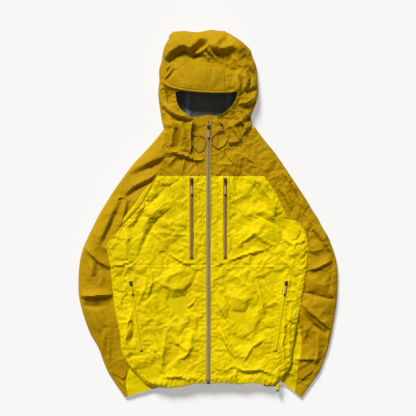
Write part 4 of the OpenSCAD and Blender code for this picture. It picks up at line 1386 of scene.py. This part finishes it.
def make_back():
    """Back panel, back yoke and the back of the hood as one grid on the surface."""
    y_rows, index = spread([BACK_HEM, 40, NECK_SEAM, 500], 9)

    def limit(side):
        body = front_edge(side, y_rows) - np.where(y_rows < PIT, np.maximum(side_lift(y_rows), 20), 1)
        return mix(body, HOOD_OUT[side](y_rows) - 4, ease((y_rows - 215) / 30))[:, None]

    low = -limit("left")
    x = low + (np.linspace(-1, 1, 57) + 1) / 2 * (limit("right") - low)
    y = y_rows[:, None]
    lift = np.where(x < 0, hem_line["left"](np.abs(x)), hem_line["right"](np.abs(x))) + 4 - BACK_HEM
    y = y + lift * ease(1 - (y - BACK_HEM) / 60)
    grid = refine(points_grid(x, y))
    x, y = grid[..., 0], grid[..., 1]
    wrinkles = 0.7 * crumple(x, y, 42, 91) + 0.45 * crumple(x, y, 18, 92)
    grid[..., 2] = 1.3 + 1.1 * np.clip(wrinkles + 0.35, 0, 1.5)
    a, b = 2 * index[1], 2 * index[2]
    panel("back_panel", [(grid[:a + 1], True)], "yellow", "torso")
    panel("back_yoke", [(grid[a:b + 1], True)], "mustard", HOOD_PLACE)
    panel("hood_back", [(grid[b:], True)], "mustard", HOOD_PLACE)


def lining_z(x, y, level, crumpled):
    rise = 5 * ease((np.abs(x) - 60) / 40)
    return level + rise + 1.5 * smooth_noise(x, y, 40, 95) + crumpled * np.clip(crumple(x, y, 26, 96), -1, 1)


def make_lining():
    """The hood's lining with its taped seams."""
    y_rows, _ = spread([256, 466], 7)
    width = curve([(256, 92), (300, 96), (380, 96), (440, 84), (466, 60)])(y_rows)
    grid = refine(points_grid(np.linspace(-1, 1, 31)[None, :] * width[:, None], y_rows[:, None]))
    grid[..., 2] = lining_z(grid[..., 0], grid[..., 1], 4.4, 1.2)
    panel("hood_lining", [(grid, False)], "lining", "hood")
    for side, middle in (("left", -58), ("right", 56)):
        grid = points_grid(middle + np.linspace(-6.5, 6.5, 7), np.linspace(258, 460, 44)[:, None])
        grid[..., 2] = lining_z(grid[..., 0], grid[..., 1], 5.2, 0.8)
        cloth_piece(f"lining_seam_tape_{side}", [(grid, False)], "seam_tape", "hood", inner="seam_tape",
                    thick=0.3)


# ------------------------------------------------------------------ zips and fittings


class Part:
    """Gathers shapes, each with its own material, into one mesh."""

    def __init__(self):
        self.points = []
        self.faces = []
        self.marks = []

    def add(self, points, faces, mark=0):
        """Adds a shape; mark is the number of its material, or a list with one for each face."""
        start = len(self.points)
        self.points += [tuple(p) for p in points]
        self.faces += [tuple(start + v for v in face) for face in faces]
        self.marks += mark if isinstance(mark, list) else [mark] * len(faces)

    def rings(self, rings, mark=0, closed=False):
        """Joins rings of equal length by quads, with flat ends unless closed."""
        n = len(rings[0])
        count = len(rings)
        faces = []
        for i in range(count if closed else count - 1):
            for j in range(n):
                a, b = i * n + j, i * n + (j + 1) % n
                c, d = (i + 1) % count * n + (j + 1) % n, (i + 1) % count * n + j
                faces.append((a, b, c, d))
        if not closed:
            faces += [tuple(range(n))[::-1], tuple((count - 1) * n + j for j in range(n))]
        self.add(np.concatenate(rings), faces, mark)

    def tube(self, route, radius, mark=0, sides=10, closed=False):
        p = np.array(route, float)
        if closed:
            ahead = np.roll(p, -1, axis=0) - np.roll(p, 1, axis=0)
        else:
            ahead = np.gradient(p, axis=0)
        ahead /= np.linalg.norm(ahead, axis=1, keepdims=True)
        rings = []
        for centre, t in zip(p, ahead):
            up = np.array([0, 0, 1.0]) if abs(t[2]) < 0.9 else np.array([0, 1.0, 0])
            side = np.cross(t, up)
            side /= np.linalg.norm(side)
            top = np.cross(side, t)
            angle = np.arange(sides) * 2 * math.pi / sides
            rings.append(centre + radius * (np.cos(angle)[:, None] * side + np.sin(angle)[:, None] * top))
        self.rings(rings, mark, closed)

    def slab(self, outline, low, high, bevel, mark=0):
        """A plate with rounded edges; its outline runs anticlockwise."""
        p = np.array(outline, float)
        t = np.roll(p, -1, axis=0) - np.roll(p, 1, axis=0)
        t /= np.linalg.norm(t, axis=1, keepdims=True)
        out = np.stack([t[:, 1], -t[:, 0]], axis=1)
        rings = []
        steps = [(a / 3) * math.pi / 2 for a in range(4)]
        profile = [(bevel * (1 - math.sin(a)), low + bevel * (1 - math.cos(a))) for a in steps]
        profile += [(inset, low + high - z) for inset, z in reversed(profile)]
        for inset, z in profile:
            rings.append(np.column_stack([p - out * inset, np.full(len(p), z)]))
        self.rings(rings, mark)

    def build(self, name, node, materials, place, turn=0.0, tilt=0.0, at=(0, 0, 0), pivot=(0, 0, 0)):
        """Tilts the shapes about X at the pivot, turns them about Z and puts them at a place.

        The mesh stands for the CAD node.
        """
        p = np.array(self.points) - pivot
        c, s = math.cos(tilt), math.sin(tilt)
        p = np.column_stack([p[:, 0], c * p[:, 1] - s * p[:, 2], s * p[:, 1] + c * p[:, 2]]) + pivot
        c, s = math.cos(turn), math.sin(turn)
        p = np.column_stack([c * p[:, 0] - s * p[:, 1], s * p[:, 0] + c * p[:, 1], p[:, 2]]) + at
        obj = mesh_of(name, p, self.faces, materials, self.marks)
        with edited(obj.data) as bm:
            bmesh.ops.recalc_face_normals(bm, faces=bm.faces)
            for face in bm.faces:
                face.smooth = len(face.verts) <= 4
        put_in_place(obj, place)
        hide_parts(node)


def smooth_outline(points, count=36):
    """A closed smooth outline through a few points, anticlockwise."""
    p = np.array(points, float)
    n = len(p)
    out = []
    for s in np.linspace(0, n, count, endpoint=False):
        i = int(s)
        t = s - i
        a, b, c, d = p[(i - 1) % n], p[i % n], p[(i + 1) % n], p[(i + 2) % n]
        out.append(0.5 * ((2 * b) + (c - a) * t + (2 * a - 5 * b + 4 * c - d) * t * t
                          + (3 * b - a - 3 * c + d) * t**3))
    return np.array(out)


def box_outline(x, y, half_x, half_y, count):
    """A rounded box about a point."""
    corners = [(-half_x, -half_y), (half_x, -half_y), (half_x, half_y), (-half_x, half_y)]
    return smooth_outline([(x + dx, y + dy) for dx, dy in corners], count)


PIN_Z = 5.2
ZIP_LIFT = 1.1
PULL_TILT = math.radians(3)


def slider(name, node, at, turn=0.0):
    """A zip's slider: base plate, two walls, a bridge over each and the pin between them."""
    part = Part()
    half = [(3.2, -6.6), (3.8, -3.5), (4.2, 0), (4.6, 3), (3.9, 5.0), (0, 5.3)]
    outline = smooth_outline(half + [(-x, y) for x, y in reversed(half[:-1])])
    part.slab(outline, 1.75, 3.0, 0.55)
    for side in (-1, 1):
        wall = [(3.0, -6.2), (4.2, 0), (4.2, 3.8), (2.9, 3.4), (2.9, -5.0)]
        part.slab(smooth_outline([(side * x, y) for x, y in wall[::side]]), 0.3, 2.2, 0.3)
        arch = [(side * 2.6, 2.0 * math.cos(a), 2.7 + 3.3 * math.sin(a) ** 0.8)
                for a in np.linspace(0, math.pi, 11)]
        part.tube(arch, 0.55, sides=8)
    part.tube([(x, 0, PIN_Z) for x in np.linspace(-3.1, 3.1, 5)], 0.78, sides=12)
    part.build(name, node, ["metal"], node, turn, at=at)


def puller(name, node, at, link, grip, turn=0.0, grip_material="grip"):
    """A wire link and a moulded grip with ribs and a dark end."""
    part = Part()
    half = [(1.2, 1.2), (1.2, -link / 2), (1.2, -link - 1.5)]
    ring = smooth_outline([(-x, y) for x, y in half] + half[::-1], 40)
    part.tube([(x, y, PIN_Z) for x, y in ring], 0.68, 0, 8, closed=True)
    top = -link
    end = -link - grip
    shape = [(1.8, top), (2.3, top - grip * 0.3), (3.0, top - grip * 0.65), (2.6, end + 1.2), (0, end)]
    outline = smooth_outline([(-x, y) for x, y in shape[:-1]] + shape[::-1], 44)
    part.slab(outline, PIN_Z - 1.1, PIN_Z + 1.1, 0.75, 1)
    for k in range(4):
        rib = box_outline(0, top - grip * (0.3 + 0.11 * k), 1.9, 0.45, 16)
        part.slab(rib, PIN_Z + 0.6, PIN_Z + 1.45, 0.3, 1)
    tip = smooth_outline([(-2.75, end + 4.6), (-2.6, end + 1.2), (0, end - 0.15), (2.6, end + 1.2),
                          (2.75, end + 4.6), (0, end + 5.2)], 30)
    part.slab(tip, PIN_Z - 1.2, PIN_Z + 1.2, 0.6, 2)
    materials = ["metal", grip_material, "dark"]
    part.build(name, node, materials, node, turn, PULL_TILT, at, (0, 0, PIN_Z))


STRIP_STEP = 6.0
STRIP_THICK = 0.7


def strip(part, x, z, y0, y1, slit=None):
    """A long strip along Y with a given section, as thin closed tape; the floor of its slit takes the second
    material, which in the pocket zips is black as painted shade in the groove.
    """
    n = max(2, int(abs(y1 - y0) / STRIP_STEP))
    x = np.array(x, float)
    z = np.array(z, float)
    section = np.column_stack([np.concatenate([x, x[::-1]]), np.concatenate([z, z[::-1] - STRIP_THICK])])
    m = len(section)
    points = [(px, y, pz) for y in np.linspace(y0, y1, n) for px, pz in section]
    faces = []
    marks = []
    for i in range(n - 1):
        for j in range(m):
            a, b = i * m + j, i * m + (j + 1) % m
            faces.append((a, b, b + m, a + m))
            marks.append(1 if j == slit else 0)
    faces += [tuple(range(m)), tuple((n - 1) * m + j for j in range(m))[::-1]]
    part.add(points, faces, marks + [0, 0])


MAIN_TOP = 250
MAIN_BOTTOM = -459
TOOTH_PITCH = 2.0
TOOTH_X = 1.12


def main_zip_side(side):
    """One side of the main zip: its tape and its row of teeth."""
    k = SIDES[side]
    part = Part()
    x = [0.35, 0.5, 1.9, 2.3, 3.2, 5.2, 6.0, 6.9]
    z = [32.2, 32.5, 32.6, 32.05, 31.95, 32.0, 32.25, 31.4]
    strip(part, [k * v for v in x], z, MAIN_BOTTOM, MAIN_TOP)
    first = MAIN_BOTTOM + 1 + (TOOTH_PITCH / 2 if side == "left" else 0)
    for i in range(int((MAIN_TOP - 2 - MAIN_BOTTOM) / TOOTH_PITCH)):
        tooth = box_outline(k * TOOTH_X, first + i * TOOTH_PITCH, 0.85, 0.5, 8)
        top = mix(tooth, tooth.mean(axis=0), 0.55)
        part.rings([np.column_stack([outline, np.full(8, level)])
                    for outline, level in ((tooth, 32.4), (tooth, 33.1), (top, 33.38))], 1)
    part.build(f"main_zip_{side}", f"main_zip_tape_{side}", ["tape", "coil"], "torso")


def pocket_zip(name, node, length, at, turn, tape):
    """A laminated pocket zip: smooth tape over its coil, with the slit along its middle."""
    part = Part()
    half_x = [5.2, 4.8, 3.0, 2.2, 1.4, 0.5, 0.25]
    half_z = [-0.7, 0.05, 0.1, 0.5, 1.2, 1.3, 0.5]
    # The slit's floor is coloured black: painted shade in the narrow groove.
    strip(part, [-x for x in half_x] + half_x[::-1], half_z + half_z[::-1], -length + 0.5, -0.5, slit=6)
    part.build(name, node, [tape, "dark"], "torso", turn, at=at)


CHEST_SLIDER_Y = 91
HAND_SLIDER_DROP = 10
MAIN_SLIDER_Y = 238


def make_zips():
    top = FRONT_Z + ZIP_LIFT
    for side, k in SIDES.items():
        main_zip_side(side)
        turn = k * HAND_ZIP_TURN
        pocket_zip(f"chest_zip_{side}", f"chest_zip_tape_{side}", CHEST_ZIP[1] - CHEST_ZIP[2],
                   (k * CHEST_ZIP[0], CHEST_ZIP[1], top), 0, "pocket_tape")
        pocket_zip(f"hand_zip_{side}", f"hand_zip_tape_{side}", HAND_ZIP_L,
                   (k * HAND_ZIP_TOP[0], HAND_ZIP_TOP[1], top), turn, "yellow")
        chest_at = (k * CHEST_ZIP[0], CHEST_SLIDER_Y, top)
        slider(f"chest_slider_metal_{side}", f"chest_slider_{side}", chest_at)
        puller(f"chest_pull_{side}", f"chest_puller_{side}", chest_at, 16, 26)
        hand_at = (k * (HAND_ZIP_TOP[0] + HAND_SLIDER_DROP * math.sin(HAND_ZIP_TURN)),
                   HAND_ZIP_TOP[1] - HAND_SLIDER_DROP * math.cos(HAND_ZIP_TURN), top)
        slider(f"hand_slider_metal_{side}", f"hand_slider_{side}", hand_at, turn)
        puller(f"hand_pull_{side}", f"hand_puller_{side}", hand_at, 11, 24, turn,
               "yellow" if side == "left" else "grip")
    slider("main_slider_metal", "main_slider", (0, MAIN_SLIDER_Y, FRONT_Z))
    puller("main_pull", "main_puller", (0, MAIN_SLIDER_Y, FRONT_Z), 10, 24)
    part = Part()
    box = [(-4.2, -467), (4.2, -467), (4.4, -463), (4.2, -459.5), (-4.2, -459.5), (-4.4, -463)]
    part.slab(smooth_outline(box, 24), FRONT_Z - 1.5, FRONT_Z + 1.5, 0.7)
    for x in (-1.4, 1.4):
        part.slab(box_outline(x, 249.15, 0.9, 0.65, 12), FRONT_Z + 0.1, FRONT_Z + 1.5, 0.3)
    part.build("zip_box_and_stops", "zip_stops", ["metal"], "torso")


def make_tabs():
    """The cuff tabs: a stitched tab over its hook patch."""
    tab_half = [(1.8, -10), (16, -10.2), (32, -9.6), (40.5, -6)]
    patch_half = [(14, -8), (30, -8), (37, -4)]
    for side, k in SIDES.items():
        x, y, angle = TAB_PLACES[side]
        turn = math.radians(-angle if side == "left" else angle + 180)
        part = Part()
        tab = smooth_outline(tab_half + [(TAB_LENGTH, 0)] + [(u, -v) for u, v in tab_half[::-1]], 60)
        part.slab(tab, 16.3, 17.4, 0.45, 0)
        patch = smooth_outline(patch_half + [(38, 0)] + [(u, -v) for u, v in patch_half[::-1]], 40)
        part.slab(patch, 15.6, 16.35, 0.2, 1)
        edge = tab * [0.95, 0.86] + [0.8, 0]
        for a, b in zip(edge, np.roll(edge, -1, axis=0)):
            if a[0] > 1 and np.linalg.norm(b - a) > 0.5:
                part.tube([(*mix(a, b, t), 17.45) for t in (0.15, 0.5, 0.85)], 0.28, 2, 6)
        node = f"cuff_tab_{side}"
        part.build(f"cuff_tab_cloth_{side}", node, ["mustard", "dark", "thread_mustard"],
                   node, turn, at=(k * x, y, 0))


HEM_CORD = [(-140, -456, 21.6), (-112, -456, 21.4), (-92, -457, 20), (-76, -458, 13), (-60, -460, 6.4),
            (-40, -460, 4.2), (0, -460, 4.2), (40, -460, 4.2), (60, -460, 6.4), (76, -458, 13),
            (92, -457, 20), (112, -457, 22), (135, -460, 23), (155, -466, 24), (170, -471, 24),
            (182, -472, 24), (205, -472, 24)]
LOCK = (190, -469.6, 24)


def lock_rings(profile):
    """Rings about the cord lock's axis, for (how far below the lock's top, radius)."""
    angle = np.linspace(0, 2 * math.pi, 28, endpoint=False)
    x, y, z = LOCK
    return [np.column_stack([x + r * np.cos(angle), np.full(28, y - d), z + r * np.sin(angle)])
            for d, r in profile]


def make_hem_cord():
    part = Part()
    p = np.array(HEM_CORD, float)
    at = np.concatenate([[0], np.cumsum(np.linalg.norm(np.diff(p, axis=0), axis=1))])
    part.tube(np.stack(columns_at(at, p, np.linspace(0, at[-1], 90)), axis=1), 1.2, 0, 10)
    part.build("hem_elastic", "hem_cord", ["cord"], "torso")


def make_cord_lock():
    """The lock's barrel with grip rings, on the tape that holds it to the hem, and its sprung button."""
    part = Part()
    part.rings(lock_rings([(0, 4.6), (0.5, 5.2), (3.8, 5.4), (4.4, 4.9), (5.2, 4.9), (5.8, 5.4), (7.4, 5.4),
                           (8, 4.9), (8.8, 4.9), (9.4, 5.4), (14.4, 5.3), (15, 4.7), (15, 3.75),
                           (11.8, 3.72)]))
    tape = [(-36, -5), (-2, -5), (1, -2), (-2, 0), (-26, 1), (-26, 13), (-36, 13)]
    outline = smooth_outline([(LOCK[0] + x, LOCK[1] + y) for x, y in tape], 40)
    part.slab(outline, LOCK[2] - 4.6, LOCK[2] - 3.6, 0.3, 1)
    part.build("hem_lock_barrel", "hem_lock_body", ["lock", "yellow"], "torso")
    part = Part()
    part.rings(lock_rings([(8, 3.4), (8.3, 3.6), (17.6, 3.6), (18.4, 3.3), (18.9, 2.6), (19.1, 1.2)]))
    part.build("hem_lock_plunger", "hem_lock_button", ["dark"], "hem_lock_button")


def make_hanger():
    """The hanger loop: webbing that arches off the back yoke, stitched down at both ends."""
    part = Part()
    xs = np.linspace(-22, 22, 45)
    rise = 2.2 + 5.4 * ease((15.5 - np.abs(xs)) / 5)
    section = [(-4, 0.55), (-3.8, 0.7), (3.8, 0.7), (4, 0.55), (4, -0.55), (3.8, -0.7), (-3.8, -0.7),
               (-4, -0.55)]
    part.rings([np.array([(x, 236 + dy, z + dz) for dy, dz in section]) for x, z in zip(xs, rise)])
    part.build("hanger_loop_webbing", "hanger_loop", ["webbing"], "torso")


def make_fittings():
    make_hem_cord()
    make_cord_lock()
    make_hanger()
    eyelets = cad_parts["cord_eyelets"]
    eyelets.data.materials.clear()
    eyelets.data.materials.append(MATERIALS["dark"])


# How each pair of pocket bags narrows: its inner and outer edge and its level, at the bottom and at the top.
POCKET_BAGS = {
    "chest_pocket_bags": [(24, 128, -132), (24, 120, 92)],
    "hand_pocket_bags": [(40, 150, -436), (40, 205, -168)],
}


def make_inside():
    """Storm flap behind the main zip, pocket bags behind the fronts and the brim's stiffener."""
    x = np.linspace(-19, 19, 9)[None, :]
    y = np.linspace(-452, 244, 140)[:, None]
    x, y = np.broadcast_arrays(x, y)
    flap = points_grid(x, y, 28.2 + 0.3 * crumple(x, y, 16, 101))
    panel("storm_flap", [(flap, False)], "lining", "torso")
    for node, ((low_in, low_out, bottom), (high_in, high_out, top)) in POCKET_BAGS.items():
        grids = []
        for side, k in SIDES.items():
            t = np.linspace(0, 1, 48)[:, None]
            inner = mix(low_in, high_in, t)
            x = inner + np.linspace(0, 1, 24)[None, :] * (mix(low_out, high_out, t) - inner)
            x, y = np.broadcast_arrays(k * x, mix(bottom, top, t))
            grids.append((points_grid(x, y, 24.6 + 0.9 * crumple(x, y, 30, 103)), side == "left"))
        panel(node, grids, "mesh", "torso", inner="mesh", thick=0.4)
    x = np.linspace(-68, 44, 40)[None, :]
    y = np.linspace(BRIM_Y + 8, 400, 22)[:, None]
    x, y = np.broadcast_arrays(x, y)
    sheet = points_grid(x, y, hood_z(x, y) + 0.3 * hood_relief(x, y) - 5.5)
    cloth_piece("brim_stiffener_sheet", [(sheet, False)], "dark", HOOD_PLACE, "brim_stiffener", inner="dark")


# ------------------------------------------------------------------ light and floor


def make_stage():
    half = 6
    corners = [(-half, -half, 0), (half, -half, 0), (half, half, 0), (-half, half, 0)]
    mesh = bpy.data.meshes.new("floor")
    mesh.from_pydata(corners, [], [(0, 1, 2, 3)])
    floor = bpy.data.objects.new("floor", mesh)
    bpy.context.scene.collection.objects.link(floor)
    n = Nodes("floor")
    tint = n.blend(n.ramp(n.noise(3), 0.3, 0.7), (0.58, 0.58, 0.58, 1), (0.585, 0.585, 0.585, 1))
    n.put(n.shader.inputs["Base Color"], tint)
    n.put(n.shader.inputs["Roughness"], 0.95)
    n.put(n.shader.inputs["Specular IOR Level"], 0.05)
    # A light table: its own glow softens the shadows on it.
    n.put(n.shader.inputs["Emission Color"], (1, 1, 1, 1))
    n.put(n.shader.inputs["Emission Strength"], 0.332)
    mesh.materials.append(n.material)
    world = bpy.data.worlds.new("studio")
    world.use_nodes = True
    background = world.node_tree.nodes["Background"]
    background.inputs["Color"].default_value = (1, 1, 1, 1)
    background.inputs["Strength"].default_value = 0.18
    bpy.context.scene.world = world
    sun("key", (-0.42, 1.0, 0.85), 18, 4.3)
    bpy.context.scene.view_settings.view_transform = "Standard"
    bpy.context.scene.view_settings.look = "None"


def sun(name, towards, angle, strength):
    data = bpy.data.lights.new(name, "SUN")
    data.angle = math.radians(angle)
    data.energy = strength
    obj = bpy.data.objects.new(name, data)
    obj.location = towards
    obj.rotation_euler = Vector(towards).to_track_quat("Z", "Y").to_euler()
    bpy.context.scene.collection.objects.link(obj)


# ------------------------------------------------------------------ the jacket

make_camera()
make_materials()
make_cords()
make_fronts()
make_pit_flap()
make_sleeves()
make_hood()
make_back()
make_lining()
make_inside()
make_zips()
make_tabs()
make_fittings()
make_stage()
